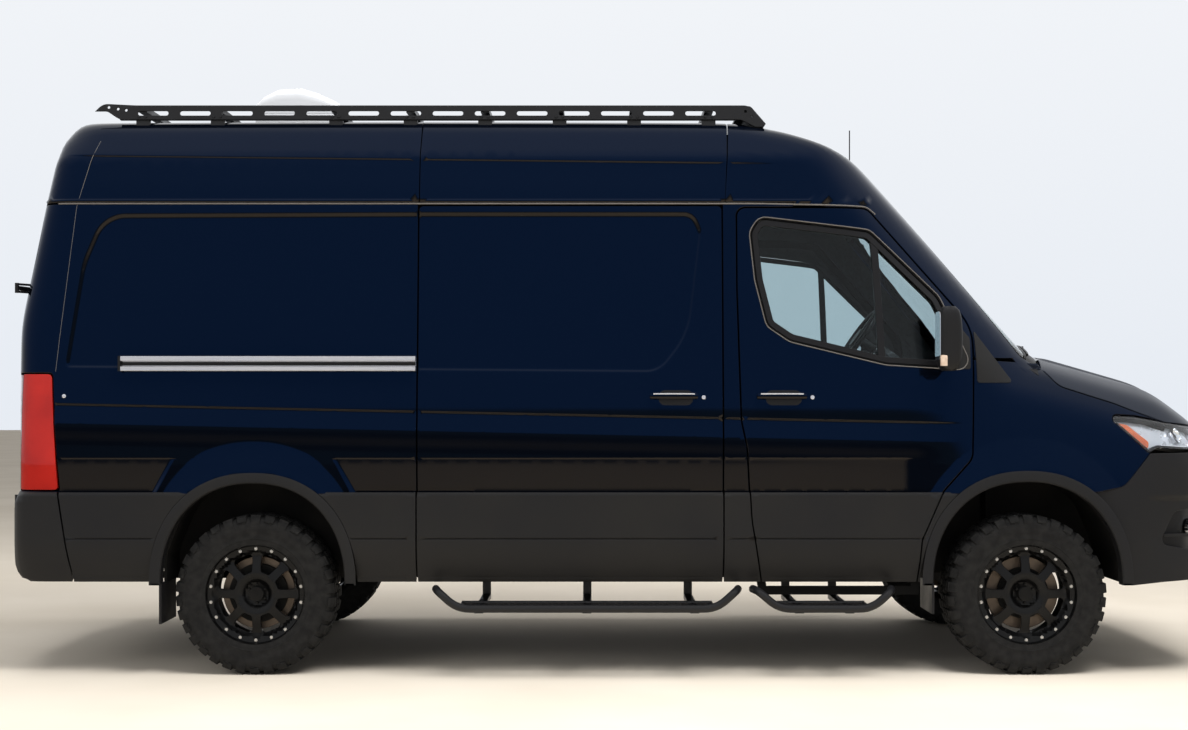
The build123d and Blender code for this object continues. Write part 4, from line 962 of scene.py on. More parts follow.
# Fenders: from the door to the bumper, up to the bonnet's gap
BONNET_EDGE = [(0.098, 1.490, 0.05), (0.186, 1.375, 0.10), (0.314, 1.334, 0.3), (0.617, 1.238, 0.3),
               (0.740, 1.200, 0.08)]
LAMP = [(0.387, 1.236, 0.02), (0.598, 1.050, 0.02), (0.640, 1.078, 0.03), (0.90, 1.062, 0.05),
        (1.27, 1.045, 0.03), (1.27, 1.130, 0.05), (1.02, 1.168, 0.10), (0.72, 1.203, 0.2),
        (0.56, 1.228, 0.2)]
BUMPER_EDGE = [(0.10, 0.862), (0.330, 0.868, 0.08), (0.457, 0.892, 0.08), (0.598, 1.050)]
bonnet_edge = rounded(BONNET_EDGE, 0.02, closed=False)
lamp_ring = ring_of(LAMP)
lamp_hole_front = offset(lamp_ring, 0.003)
bumper_edge = list(map(tuple, rounded(BUMPER_EDGE, 0.02, closed=False)))
fender_outer = spaced([*(bonnet_edge[::-1] + (-GAP * 0.4, -GAP * 0.8)), (-0.25, 1.497), (-0.60, 1.497),
                       (-0.60, PAINT_FOOT), *bumper_edge, (0.72, 1.15)], 0.02)
fender_region = largest(region(fender_outer, door_hole, front_lip, lamp_hole_front))
for side, word in SIDES:
    panel("fender_" + word, Belt, fender_region, SKIN, side, thick=0.03, relief=side_relief(None),
          extra=side_rows(-0.5, 0.6), stands_for="fenders")

# Roof in three pieces, with its side ditches
ROOF_FOOT = GUTTER_Z + 0.003
BEADS = (0.0, 0.24, 0.48)
SEAM_GAP = 0.0015


def crease_z(x):
    return 2.470 - 0.012 * (x + 3.2)


def roof_relief(p):
    """A crease above the gutter, a rolled edge beside it and long beads on top."""
    x, y, z = p[:, 0], np.abs(p[:, 1]), p[:, 2]
    drop = crease_z(x) - z
    ends = smooth((x + 4.62) / 0.2) * smooth((-1.10 - x) / 0.5) * (y > 0.7)
    total = (0.006 * smooth(drop / 0.008) - 0.006 * smooth((drop - 0.01) / 0.16)) * ends
    low = z - ROOF_FOOT
    total = total - 0.006 * (1 - smooth(np.abs(low - 0.010) / 0.012)) * (y > 0.7) * (x > -4.7) * (x < -0.70)
    for middle in BEADS:
        bead = smooth(1 - np.abs(y - middle) / 0.055) * smooth((z - 2.6) / 0.05)
        for start, end in ((-4.45, SEAM_REAR - 0.12), (SEAM_REAR + 0.12, SEAM_FRONT - 0.12)):
            total = total + 0.005 * bead * smooth((x - start) / 0.06) * smooth((end - x) / 0.06)
    return total


def roof_rows(x0, x1):
    xs = np.arange(x0, x1, 0.04)
    rows = [along(xs, GUTTER_Z + rise) for rise in (0.006, 0.013, 0.020, 0.026)]
    rows += [along(xs, crease_z(xs) + rise) for rise in (0.006, 0.0, -0.004, -0.008, -0.014)]
    beads = [along(xs, middle + by) for middle in BEADS for by in (-0.055, -0.03, 0, 0.03, 0.055)]
    half = np.concatenate([onto(Belt, r, Lid) for r in rows] + [onto(Top, r, Lid) for r in beads])
    return [np.concatenate([half, half * (1, -1)])]


def gutter_line(x0, x1, z=ROOF_FOOT):
    return onto(Belt, rounded([(x0, z), (x1, z)], 0.02, closed=False), Lid)


def roof_panel(name, loops, x0, x1, *stands_for):
    panel(name, Lid, loops, SKIN, step=0.028, relief=roof_relief, extra=roof_rows(x0, x1),
          stands_for=stands_for)


door_line = rounded(REAR_DOOR[1:5], 0.015, closed=False)
over_gutter = door_line[(door_line[:, 1] > ROOF_FOOT) & (door_line[:, 0] > 0)]
gap_top = onto(Tail, over_gutter + (GAP * 0.8, GAP * 0.5), Lid)
rear_half = np.concatenate([gap_top[::-1], gutter_line(REAR_EDGE + 0.002, SEAM_REAR - SEAM_GAP)])
roof_panel("roof_panel_rear", [spaced(list(mirrored(rear_half)), 0.02)], -4.7, SEAM_REAR, "roof_rear")
middle_half = gutter_line(SEAM_REAR + SEAM_GAP, SEAM_FRONT - SEAM_GAP)
roof_panel("roof_panel_middle", [spaced(list(mirrored(middle_half)), 0.02)], SEAM_REAR, SEAM_FRONT,
           "roof_middle")

# Front roof, pillars and cowl, with the windscreen's opening
SCREEN_LENGTH = math.hypot(SCREEN_FOOT[0] - SCREEN_TOP[0], SCREEN_FOOT[1] - SCREEN_TOP[1])
APERTURE = [(0, 0.130), (0.640, 0.150, 0.09), (0.770, SCREEN_LENGTH - 0.075, 0.08),
            (0, SCREEN_LENGTH - 0.045)]


class Screen:
    """Square off the windscreen's plane, in y and distance down the slope."""

    @staticmethod
    def rays(uv):
        y, s = uv[:, 0], uv[:, 1]
        c, w = math.cos(SCREEN_TURN), math.sin(SCREEN_TURN)
        start = np.stack([SCREEN_TOP[0] + c * s + w * 0.5, y, SCREEN_TOP[1] + w * s - c * 0.5], 1)
        return start, np.repeat([[-w, 0, c]], len(uv), 0)

    @staticmethod
    def flat(p):
        c, w = math.cos(SCREEN_TURN), math.sin(SCREEN_TURN)
        return np.stack([p[:, 1], (p[:, 0] - SCREEN_TOP[0]) * c + (p[:, 2] - SCREEN_TOP[1]) * w], 1)


def screen_outline(grow):
    half = rounded([(0, APERTURE[0][1] - grow), (APERTURE[1][0] + grow, APERTURE[1][1] - grow, 0.09),
                    (APERTURE[2][0] + grow, APERTURE[2][1] + grow, 0.08), (0, APERTURE[3][1] + grow)],
                   0.02, closed=False)
    other = half[::-1] * (-1, 1)
    return np.concatenate([half, other[1:-1]])


top_start = int(np.argmin(np.hypot(*(door_hole - (-0.95, 2.229)).T)))
foot_end = int(np.argmin(np.hypot(*(door_hole - (-0.237, 1.503)).T)))
order = [foot_end]
turn = 1 if door_hole[(foot_end + 3) % len(door_hole), 1] > door_hole[foot_end, 1] else -1
while order[-1] != top_start:
    order.append((order[-1] + turn) % len(door_hole))
pillar_line = door_hole[order][::-1]


def bonnet_rear_x(y):
    return 0.205 - 0.107 * (y / 0.86) ** 2


ys = np.linspace(0, 0.86, 30)
cowl_line = np.stack([bonnet_rear_x(ys) - GAP, ys], 1)
roof_edge = rounded([(SEAM_FRONT + SEAM_GAP, ROOF_FOOT), (-1.100, ROOF_FOOT), (-1.098, 2.2365),
                     (-0.98, 2.236)], 0.02, closed=False)
side_line = np.concatenate([roof_edge, pillar_line, [(-0.15, 1.503), (-0.03, 1.503)]])
front_half = np.concatenate([onto(Belt, side_line, Lid), onto(Top, cowl_line[::-1], Lid)])
front_loop = spaced(list(np.concatenate([front_half[:-1], (front_half * (1, -1))[::-1]])), 0.02)
screen_hole = onto(Screen, screen_outline(0.0), Lid)
roof_panel("roof_panel_front", [front_loop, screen_hole], SEAM_FRONT, -1.0, "roof_front", "cab_frame")

# Bonnet

def crease_y(x):
    return 0.56 - 0.16 * (x - 0.1)


def bonnet_relief(p):
    """Two raised creases that run forward and draw together."""
    x, y = p[:, 0], np.abs(p[:, 1])
    inner = smooth((crease_y(x) - y) / 0.03)
    fade = smooth((x - 0.12) / 0.1) * smooth((0.86 - x) / 0.15)
    scoop = smooth(1 - np.abs(y - 0.30) / 0.10) * smooth((x - 0.25) / 0.15) * smooth((0.7 - x) / 0.2)
    return (-0.012 * inner + 0.006 * scoop) * fade


NOSE_MIDDLE = NOSE_TURN + NOSE_ROUND * QUARTER + (HALF - NOSE_ROUND)
bonnet_side = rounded([*BONNET_EDGE, (1.05, 1.178, 0.2), (NOSE_MIDDLE, 1.165)], 0.02, closed=False)
cowl_edge = np.stack([bonnet_rear_x(ys), ys], 1)
bonnet_half = np.concatenate([onto(Top, cowl_edge[:-1], Hood), onto(Belt, bonnet_side, Hood)])
bonnet_loop = np.concatenate([bonnet_half, (bonnet_half[1:-1] * (1, -1))[::-1]])
crease_x = np.arange(0.1, 0.9, 0.02)
crease_flat = np.concatenate([onto(Top, along(crease_x, crease_y(crease_x) - by), Hood)
                              for by in (0, 0.01, 0.02, 0.03)])
panel("bonnet_panel", Hood, [bonnet_loop], [M["bonnet"], M["black"]], LEFT, "bonnet", thick=0.025, step=0.03,
      relief=bonnet_relief, extra=[crease_flat, crease_flat * (1, -1)], stands_for="bonnet")

# Windscreen and door glass

def pane(name, way, loop, side, body, stands_for, inset):
    panel(name, way, [loop], [M["glass"], M["glass"]], side, body, "glass", step=0.05, thick=0.005,
          edge=0.0015, lift=-inset, stands_for=stands_for)


pane("windscreen_glass", Screen, screen_outline(-0.001), LEFT, "root", "windscreen", 0.006)
for side, word in SIDES:
    pane("door_glass_pane_" + word, Belt, offset(window_loop, -0.001), side, "door_" + word,
         "door_glass_" + word, 0.012)

# Rear doors

def rear_relief(p):
    """A window-shaped pressing in the upper half and a number-plate hollow lower down."""
    y, z = np.abs(p[:, 1]), p[:, 2]
    flat = np.stack([y, z], 1)
    upper = 0.012 * smooth(depth_in(flat, REAR_PRESSING) / 0.02)
    lower = 0.010 * smooth(depth_in(flat, REAR_LOWER) / 0.02)
    return upper + lower


REAR_PRESSING = rounded([(0.10, 1.50, 0.08), (0.76, 1.50, 0.08), (0.755, 2.02, 0.3), (0.70, 2.33, 0.10),
                         (0.10, 2.35, 0.08)], 0.03)
REAR_LOWER = rounded([(0.10, 0.76, 0.06), (0.74, 0.76, 0.06), (0.76, 1.36, 0.08), (0.10, 1.36, 0.08)], 0.03)
half_box = spaced(rect(GAP / 2, 2, 0.3, 3), 0.05)
rear_flat = cut([rear_door_ring, half_box], lambda p: inside(p, rear_door_ring) & inside(p, half_box))
rear_loops = [onto(Tail, loop, Belt) for loop in rear_flat]
rear_rows = [onto(Tail, offset(r, by), Belt) for r in (REAR_PRESSING, REAR_LOWER)
             for by in (0.003, 0.0, -0.006, -0.013, -0.02)]
for side, word in SIDES:
    panel("rear_door_panel_" + word, Belt, rear_loops, SKIN, side, "rear_door_" + word,
          relief=rear_relief, extra=rear_rows, stands_for="rear_door_" + word)


# Shapes that are not part of the skin

def stacked(rings, size, flip=False, joined=False, caps=True):
    """Faces between rings of points; joined links the last ring to the first, else caps close the ends."""
    faces = []
    for k in range(rings if joined else rings - 1):
        here, there = k * size, (k + 1) % rings * size
        for j in range(size):
            n = (j + 1) % size
            face = (here + j, here + n, there + n, there + j)
            faces.append((face[0], *face[:0:-1]) if flip else face)
    if caps and not joined:
        ends = [tuple(reversed(range(size))), tuple((rings - 1) * size + j for j in range(size))]
        faces += [end[::-1] if flip else end for end in ends]
    return faces


def swept(points, radius, parts=10, closed=False):
    """A round tube along a line of points; radius may be one number or one for each point."""
    points = np.asarray(points, float)
    count = len(points)
    radii = np.broadcast_to(radius, count)
    if closed:
        ahead = np.roll(points, -1, 0) - np.roll(points, 1, 0)
    else:
        ahead = np.gradient(points, axis=0)
    ahead = unit(ahead)
    up = np.array([0.0, 0, 1]) if abs(ahead[0, 2]) < 0.9 else np.array([1.0, 0, 0])
    verts = []
    for p, t, r in zip(points, ahead, radii):
        side_way = np.cross(t, up)
        side_way /= np.linalg.norm(side_way)
        up = np.cross(side_way, t)
        turn = np.arange(parts) * 2 * math.pi / parts
        verts.append(p + r * (np.cos(turn)[:, None] * side_way + np.sin(turn)[:, None] * up))
    return np.concatenate(verts), stacked(count, parts, flip=True, joined=closed)


def lathe(profile, parts=64):
    """Rows of (radius, y) turned about the y axis; a closed profile gives a closed solid."""
    angles = [2 * math.pi * k / parts for k in range(parts)]
    verts = [(r * math.cos(t), y, r * math.sin(t)) for t in angles for r, y in profile]
    return np.array(verts), stacked(parts, len(profile), joined=True)


def cap_of(loop):
    edges = [(j, (j + 1) % len(loop)) for j in range(len(loop))]
    return delaunay_2d_cdt([Vector(p) for p in loop], edges, [], 1, 1e-7)[2]


def upright(uv, h):
    return np.column_stack([uv, h])


def crosswise(uv, h):
    return np.column_stack([uv[:, 0], -h, uv[:, 1]])


def lengthways(uv, h):
    return np.column_stack([h, uv])


def slab(loop, low, high, place, bevel=0.0):
    """An outline pushed from low to high; place(uv, h) gives its points. Bevels the high rim."""
    loop = np.asarray(loop, float)
    if area(loop) < 0:
        loop = loop[::-1]
    rings = [(loop, low)]
    if bevel:
        rings += [(loop, high - bevel), (offset(loop, -bevel * 0.3), high - bevel * 0.3),
                  (offset(loop, -bevel), high)]
    else:
        rings.append((loop, high))
    size = len(loop)
    verts = np.concatenate([place(ring, np.full(size, h)) for ring, h in rings])
    faces = stacked(len(rings), size, caps=False)
    last = (len(rings) - 1) * size
    faces += [tuple(last + j for j in cap) for cap in cap_of(rings[-1][0])]
    faces += [tuple(reversed(cap)) for cap in cap_of(loop)]
    return verts, faces


def box_mesh(low, high, bevel=0.0):
    (x0, y0, z0), (x1, y1, z1) = low, high
    loop = rounded(rect(x0, x1, y0, y1, bevel * 1.2), 1.0)
    return slab(loop, z0, z1, upright, bevel)


def sideways(verts_faces, side):
    """The same mesh, mirrored to the right side when asked."""
    verts, faces = verts_faces
    if side == LEFT:
        return np.asarray(verts), faces
    return np.asarray(verts) * (1, -1, 1), [tuple(reversed(f)) for f in faces]


def together(*meshes):
    verts, faces, used = [], [], 0
    for v, f in meshes:
        verts.append(np.asarray(v, float))
        faces += [tuple(int(i) + used for i in face) for face in f]
        used += len(v)
    return np.concatenate(verts), faces


def moved(mesh, by=(0, 0, 0), turn=None):
    verts, faces = mesh
    verts = np.asarray(verts, float)
    if turn is not None:
        verts = verts @ np.array(turn).T
    return verts + by, faces


SLOT_OF = {"paint": "paint", "grey": "grey_plastic", "black": "black_plastic", "seal": "black_plastic",
           "edge": "black_plastic", "rubber": "tyre", "rim": "wheel_black", "steel": "black_metal",
           "bolt": "bright_metal", "bright": "bright_metal", "disc": "bright_metal", "chrome": "bright_metal",
           "lamp_inside": "bright_metal", "white": "white_plastic", "fan_grey": "white_plastic",
           "red": "red_lens", "red_dark": "red_lens", "clear": "clear_lens", "amber": "clear_lens",
           "repeater": "clear_lens", "mirror": "glass", "fabric": "seat_fabric", "lining": "seat_fabric"}


def solid(name, mesh, key, body="root", slot=None, smooth=True, crisp=35, stands_for=()):
    """A mesh object whose edges sharper than an angle stay crisp."""
    obj = make(name, *mesh, [M[key]], body, slot or SLOT_OF[key], smooth=smooth, stands_for=stands_for)
    if smooth:
        obj.data.set_sharp_from_angle(angle=math.radians(crisp))
    return obj


# Cladding below the paint: its own surface, just proud of the skin

CLAD_Y = 1.010


def clad_field(p):
    """The moulding's outside: a rounded shoulder, a flat face, a groove and a lower band."""
    x, y, z = p[:, 0], np.abs(p[:, 1]), p[:, 2]
    face = y - CLAD_Y + 0.25 * np.maximum(0.651 - z, 0) ** 2 / 0.2
    groove = 0.006 * (1 - smooth(np.abs(z - 0.649) / 0.005))
    fine = 0.002 * (1 - smooth(np.abs(z - 0.462) / 0.004))
    shoulder = (z - 0.873) * 0.94 + (y - 0.990) * 0.34
    foot = 0.436 - z
    value = smax(smax(face + groove + fine, shoulder, 0.022), foot, 0.012)
    return smax(value, chain(x - REAR_BULGE * (y / HALF) ** 2, z, REAR_SIDE) - 0.02, 0.19)


def clad_panel(name, loops, side, x0, x1, body="root", stands_for="body_cladding"):
    panel(name, Belt, loops, CLAD, side, body, "grey_plastic", step=0.03, thick=0.022, edge=0.002,
          extra=clad_rows(x0, x1), field=clad_field, stands_for=stands_for)


def clad_rows(x0, x1):
    xs = np.arange(x0, x1, 0.05)
    heights = (0.869, 0.866, 0.862, 0.857, 0.850, 0.842, 0.656, 0.6535, 0.651, 0.649, 0.647, 0.6445, 0.642,
               0.467, 0.4645, 0.462, 0.4595, 0.457, 0.446, 0.442)
    return [along(xs, z) for z in heights]


CLAD_FOOT, CLAD_HEAD = 0.439, 0.8705


def band_region(x0, x1, *holes):
    """The cladding's band between two stations, less the openings named."""
    outer = spaced(rect(x0, x1, CLAD_FOOT, CLAD_HEAD), 0.03)
    return region(outer, *holes, step=0.03, least=0.004)


front_clear = offset(arch(FRONT_ARCH, "lip"), 0.001)
rear_clear = offset(arch(REAR_ARCH, "lip"), 0.001)
BUMPER_SEAM = [(-6.0, 0.2), (-4.531, 0.2), (-4.531, 0.490), (-4.591, 0.880), (-6.0, 0.880)]
bumper_hole = spaced(list(np.array(BUMPER_SEAM) + (0.003, 0)), 0.03)
for side, word, front_end in ((RIGHT, "right", SLIDE_REAR - GAP), (LEFT, "left", DOOR_BACK + 0.2)):
    pieces = band_region(SKIN_REAR, front_end, rear_clear, bumper_hole, door_hole)
    for k, loop in enumerate(sorted(pieces, key=lambda q: q[:, 0].mean())):
        clad_panel(f"cladding_{word}_{k}", [loop], side, SKIN_REAR, front_end)
clad_panel("cladding_sliding", band_region(SLIDE_REAR, SLIDE_FRONT), RIGHT, SLIDE_REAR, SLIDE_FRONT,
           stands_for="cladding_sliding_door")
clad_panel("cladding_pillar", band_region(SLIDE_FRONT + GAP, -1.2, door_hole), RIGHT, SLIDE_FRONT, -1.2)
door_band = spaced(rect(-2, 0, CLAD_FOOT, CLAD_HEAD), 0.03)
on_door = within(door_loop, front_clear)
door_clad = cut([door_loop, door_band, front_clear], lambda p: on_door(p) & inside(p, door_band), 0.03)
for side, word in SIDES:
    clad_panel("cladding_door_" + word, door_clad, side, DOOR_BACK, -0.4, "door_" + word,
               "cladding_" + word + "_door")
    for k, loop in enumerate(band_region(-0.60, -0.30, door_hole, front_clear)):
        clad_panel(f"cladding_front_{word}_{k}", [loop], side, -0.6, -0.3)


def arch_lip(which, side, name):
    """The grey ring round a wheel arch: out from the skin, a flat band, then turned in under."""
    rows = [("lip", 0.992, 0.990), ("lip", 1.000, CLAD_Y + 0.001), ("lip", 0.985, CLAD_Y + 0.004),
            ("inner", 1.012, CLAD_Y + 0.004), ("inner", 1.0, CLAD_Y - 0.002), ("inner", 1.0, 0.950),
            ("inner", 1.015, 0.950), ("inner", 1.03, 0.975)]
    rings = []
    for edge, grow, y in rows:
        a, b = which[edge]
        curve = arch({"x": which["x"], edge: (a * grow, b * grow)}, edge, 90, CLAD_FOOT)
        curve = np.concatenate([curve[-1:], curve[:-1]])
        rings.append(np.insert(curve, 1, y, axis=1))
    size, count = len(rings[0]), len(rings)
    faces = []
    for k in range(count):
        here, there = k * size, (k + 1) % count * size
        faces += [(here + j, there + j, there + j + 1, here + j + 1) for j in range(size - 1)]
    faces.append(tuple(k * size for k in range(count)))
    faces.append(tuple((count - k) * size - 1 for k in range(count)))
    solid(name, sideways((np.concatenate(rings), faces), side), "grey", stands_for="body_cladding")


for side, word in SIDES:
    arch_lip(REAR_ARCH, side, "arch_lip_rear_" + word)
    arch_lip(FRONT_ARCH, side, "arch_lip_front_" + word)

# Front bumper, grille and headlamps follow the nose's skin

bumper_outer = spaced([(0.10, 0.862), *bumper_edge[1:], (0.90, 1.050), (1.27, 1.035),
                       (NOSE_MIDDLE, 0.985), (NOSE_MIDDLE, 0.455), (0.90, 0.452), (0.66, 0.440),
                       (0.45, 0.420), (0.10, 0.415)], 0.02)
fog_loop = poly((0.635, 0.620, 0.03), (0.715, 0.775, 0.04), (0.96, 0.800, 0.03), (1.06, 0.640, 0.03),
                (0.96, 0.560, 0.04))
intake_loop = poly((1.12, 0.500, 0.03), (1.12, 0.760, 0.04), (NOSE_MIDDLE + 0.2, 0.760),
                   (NOSE_MIDDLE + 0.2, 0.500))
bumper_region = region(bumper_outer, front_clear, offset(lamp_ring, 0.004), fog_loop, intake_loop, least=0.01)


def bumper_relief(p):
    """The bumper stands proud of the painted skin, with a crease half-way up."""
    z = p[:, 2]
    proud = 0.014 * smooth((p[:, 0] - 0.45) / 0.25) * (1 - 0.6 * smooth((p[:, 0] - 0.85) / 0.12))
    crease = 0.010 * smooth((0.845 - z) / 0.01) * smooth((z - 0.47) / 0.2)
    return -proud + crease * smooth((p[:, 0] - 0.55) / 0.15)


def grouped(loops):
    """Each outer loop with the holes that lie in it."""
    loops = sorted(loops, key=lambda q: -abs(area(q)))
    groups = []
    for loop in loops:
        for group in groups:
            if inside(loop[:1] * 0.999 + loop.mean(0) * 0.001, group[0])[0]:
                group.append(loop)
                break
        else:
            groups.append([loop])
    return groups


for side, word in SIDES:
    for k, group in enumerate(grouped(bumper_region)):
        panel(f"front_bumper_{word}_{k}", Belt, group, CLAD, side, "root", "grey_plastic",
              relief=bumper_relief, thick=0.03, stands_for="front_bumper")

# Wheels: drawn about their own centre, with the outside towards +y

TREAD_R = 0.3795
GROOVE_R = 0.3685
TYRE_PROFILE = [(0.2335, 0.100), (0.236, 0.112), (0.246, 0.1155), (0.262, 0.1165), (0.265, 0.1185),
                (0.269, 0.1185), (0.272, 0.1175), (0.295, 0.1215), (0.318, 0.1225), (0.337, 0.1195),
                (0.352, 0.113), (0.362, 0.104), (GROOVE_R, 0.090), (GROOVE_R + 0.001, 0.03)]
PITCHES = 34
PITCH = 2 * math.pi * TREAD_R / PITCHES
MIDDLE_BLOCK = [(0.002 / PITCH, 0.004), (0.46, 0.008), (0.62, 0.024), (0.50, 0.040), (0.16, 0.034),
                (0.20, 0.022)]
SECOND_BLOCK = [(0.66, 0.014), (0.94, 0.010), (1.05, 0.036), (0.90, 0.048), (0.62, 0.046)]


def on_tread(uv, h):
    """Along the tyre's round (u), across it (v) and out from the centre (h)."""
    t = uv[:, 0] / TREAD_R
    return np.stack([h * np.cos(t), uv[:, 1], h * np.sin(t)], 1)


def block_of(u, side, rows, low, high, bevel=0.0015):
    """A tread block on one side of the middle, from rows of (share of the pitch, y)."""
    return slab([(u + PITCH * share, side * y) for share, y in rows], low, high, on_tread, bevel)


def tyre_mesh():
    inner = [(r, -y) for r, y in reversed(TYRE_PROFILE)]
    parts = [lathe(TYRE_PROFILE + inner + [(0.2325, -0.09), (0.2325, 0.09)], 96)]
    for k in range(PITCHES):
        long_one = k % 2 == 0
        foot = 0.106 if long_one else 0.100
        shoulder = [(0.08, 0.053), (0.46, 0.050), (0.80, 0.056), (0.78, foot), (0.14, foot)]
        for side in (-1, 1):
            u = k * PITCH + (0 if side == 1 else PITCH / 2)
            parts.append(block_of(u, side, MIDDLE_BLOCK, GROOVE_R - 0.002, TREAD_R))
            parts.append(block_of(u, side, SECOND_BLOCK, GROOVE_R - 0.002, TREAD_R - 0.0004))
            parts.append(block_of(u, side, shoulder, GROOVE_R - 0.010, TREAD_R - 0.001, 0.002))
            parts.append(side_lug(u + PITCH * 0.12, u + PITCH * 0.80, side, 0.334 if long_one else 0.348))
            if long_one:
                parts.append(side_lug(u + PITCH * 1.20, u + PITCH * 1.48, side, 0.341))
    return together(*parts)


def side_lug(u0, u1, side, foot_r):
    """A lug that runs over the shoulder and down the sidewall to foot_r."""
    rows = [(foot_r, 0.1170, 0.1205), (0.350, 0.1100, 0.1205), (0.363, 0.099, 0.1150),
            (0.3745, 0.094, 0.1055), (0.3775, 0.090, 0.1000)]
    verts = []
    for u in (u0, u0 + 0.002, u1 - 0.002, u1):
        edge = u in (u0, u1)
        t = u / TREAD_R
        for r, low, high in rows:
            y = side * (high - (0.003 if edge else 0))
            verts.append((r * math.cos(t), y, r * math.sin(t)))
        for r, low, high in reversed(rows):
            verts.append(((r - 0.004) * math.cos(t), side * (low - 0.006), (r - 0.004) * math.sin(t)))
    faces = stacked(4, 2 * len(rows))
    return np.array(verts), faces if side == 1 else [f[::-1] for f in faces]


def dish(r):
    """How far the wheel's face stands out at a distance from the centre."""
    return np.interp(r, [0.0, 0.040, 0.056, 0.072, 0.094, 0.130, 0.170, 0.196, 0.203, 0.232],
                     [0.058, 0.058, 0.060, 0.078, 0.086, 0.080, 0.066, 0.062, 0.087, 0.094])


def dished(loops, thick, bevel, step, height):
    """A plate with holes whose face follows a height over (x, z), with bevelled rims."""
    loops = [loop if (area(loop) > 0) == (k == 0) else loop[::-1] for k, loop in enumerate(loops)]
    inner = [loop - edge_normals(loop) * bevel for loop in loops]
    flat, tris, where = fill(inner, step)

    def place(q, drop):
        return np.column_stack([q[:, 0], height(np.hypot(q[:, 0], q[:, 1])) - drop, q[:, 1]])

    verts = [place(flat, 0)]
    faces = [tuple(t[::-1]) for t in tris]
    used = len(flat)
    position = {int(w): k for k, w in enumerate(where) if w >= 0}
    first = 0
    bottom = []
    for loop in loops:
        size = len(loop)
        ring = [position[first + k] for k in range(size)]
        first += size
        for drop in (bevel, thick):
            verts.append(place(loop, drop))
            nxt = [used + k for k in range(size)]
            used += size
            for j in range(size):
                n = (j + 1) % size
                faces.append((ring[j], ring[n], nxt[n], nxt[j]))
            ring = nxt
        bottom.append(ring)
    flat_b, tris_b, where_b = fill(loops, 0.05)
    flat_ring = [i for ring in bottom for i in ring]
    remap = {}
    for k, w in enumerate(where_b):
        if w >= 0:
            remap[k] = flat_ring[w]
        else:
            verts.append(place(flat_b[k:k + 1], thick))
            remap[k] = used
            used += 1
    faces += [tuple(remap[int(i)] for i in t) for t in tris_b]
    return np.concatenate(verts), faces


SPOKES = 8
WINDOW = [(0.106, 0.0205, 0.010), (0.150, 0.040, 0.03), (0.187, 0.050, 0.016), (0.187, -0.050, 0.016),
          (0.150, -0.040, 0.03), (0.106, -0.0205, 0.010)]
BOLTS = 18
BOLT_RING = 0.2178


def turned(rows, angle):
    c, s = math.cos(angle), math.sin(angle)
    return [(u * c - v * s, u * s + v * c, *bend) for u, v, *bend in rows]


def all_round(mesh, count, radius):
    """Copies of a mesh spread evenly round the wheel's centre."""
    angles = [2 * math.pi * (k + 0.5) / count for k in range(count)]
    return together(*[moved(mesh, (radius * math.cos(t), 0, radius * math.sin(t))) for t in angles])


def rim_meshes():
    barrel = [(0.2325, 0.099), (0.2385, 0.1045), (0.2400, 0.1100), (0.2385, 0.1130), (0.2355, 0.1130),
              (0.2335, 0.1100), (0.2325, 0.1020), (0.2310, 0.0945), (0.2275, 0.0900), (0.2130, 0.0880),
              (0.2050, 0.0600), (0.1980, 0.0000), (0.2050, -0.0800), (0.2250, -0.1060), (0.2385, -0.1130),
              (0.2400, -0.1060), (0.2325, -0.1000)]
    ring = lathe(barrel, 96)
    circle = np.array([(0.231 * math.cos(t), 0.231 * math.sin(t))
                       for t in np.linspace(0, 2 * math.pi, 96, endpoint=False)])
    holes = [rounded(turned(WINDOW, (k + 0.5) * 2 * math.pi / SPOKES), 0.012) for k in range(SPOKES)]
    face = dished([circle, *holes], 0.020, 0.002, 0.012, dish)
    cap = lathe([(0, 0.084), (0.016, 0.083), (0.022, 0.080), (0.0235, 0.074), (0.025, 0.050), (0, 0.050)], 40)
    well = lathe([(0.030, 0.066), (0.033, 0.066), (0.034, 0.050), (0.030, 0.050)], 40)
    nut = lathe([(0, 0.068), (0.005, 0.068), (0.0065, 0.066), (0.0065, 0.050), (0, 0.050)], 6)
    y = float(dish(BOLT_RING))
    head = lathe([(0, y + 0.0045), (0.0042, y + 0.0045), (0.0055, y + 0.003), (0.0055, y - 0.004),
                  (0, y - 0.004)], 12)
    washer = lathe([(0, y + 0.0015), (0.0075, y + 0.0015), (0.0080, y + 0.0008), (0.0080, y - 0.004),
                    (0, y - 0.004)], 16)
    disc = lathe([(0.055, 0.022), (0.078, 0.022), (0.078, 0.012), (0.172, 0.012), (0.174, 0.010),
                  (0.174, -0.012), (0.172, -0.014), (0.055, -0.014)], 72)
    bolts = all_round(together(head, washer), BOLTS, BOLT_RING)
    return together(ring, face, cap, well, all_round(nut, 6, 0.0435)), bolts, disc


# Edges sharper than this many degrees stay crisp
WHEEL_CRISP = {"rubber": 30, "rim": 28, "bolt": 35, "disc": 35}
tyre_shape = tyre_mesh()
rim_shape, bolt_shape, disc_shape = rim_meshes()
for end, x in (("front", 0), ("rear", REAR_X)):
    for side, word in SIDES:
        place = (x, side * TRACK, AXLE_Z)
        word = end + "_" + word
        for name, shape, key, stands_for in (("tyre_skin_", tyre_shape, "rubber", "tyre_" + word),
                                             ("rim_skin_", rim_shape, "rim", "rim_" + word),
                                             ("rim_bolts_", bolt_shape, "bolt", ()),
                                             ("brake_disc_", disc_shape, "disc", ())):
            solid(name + word, moved(sideways(shape, side), place), key, "wheel_" + word,
                  crisp=WHEEL_CRISP[key], stands_for=stands_for)

# Thin pieces on the skin

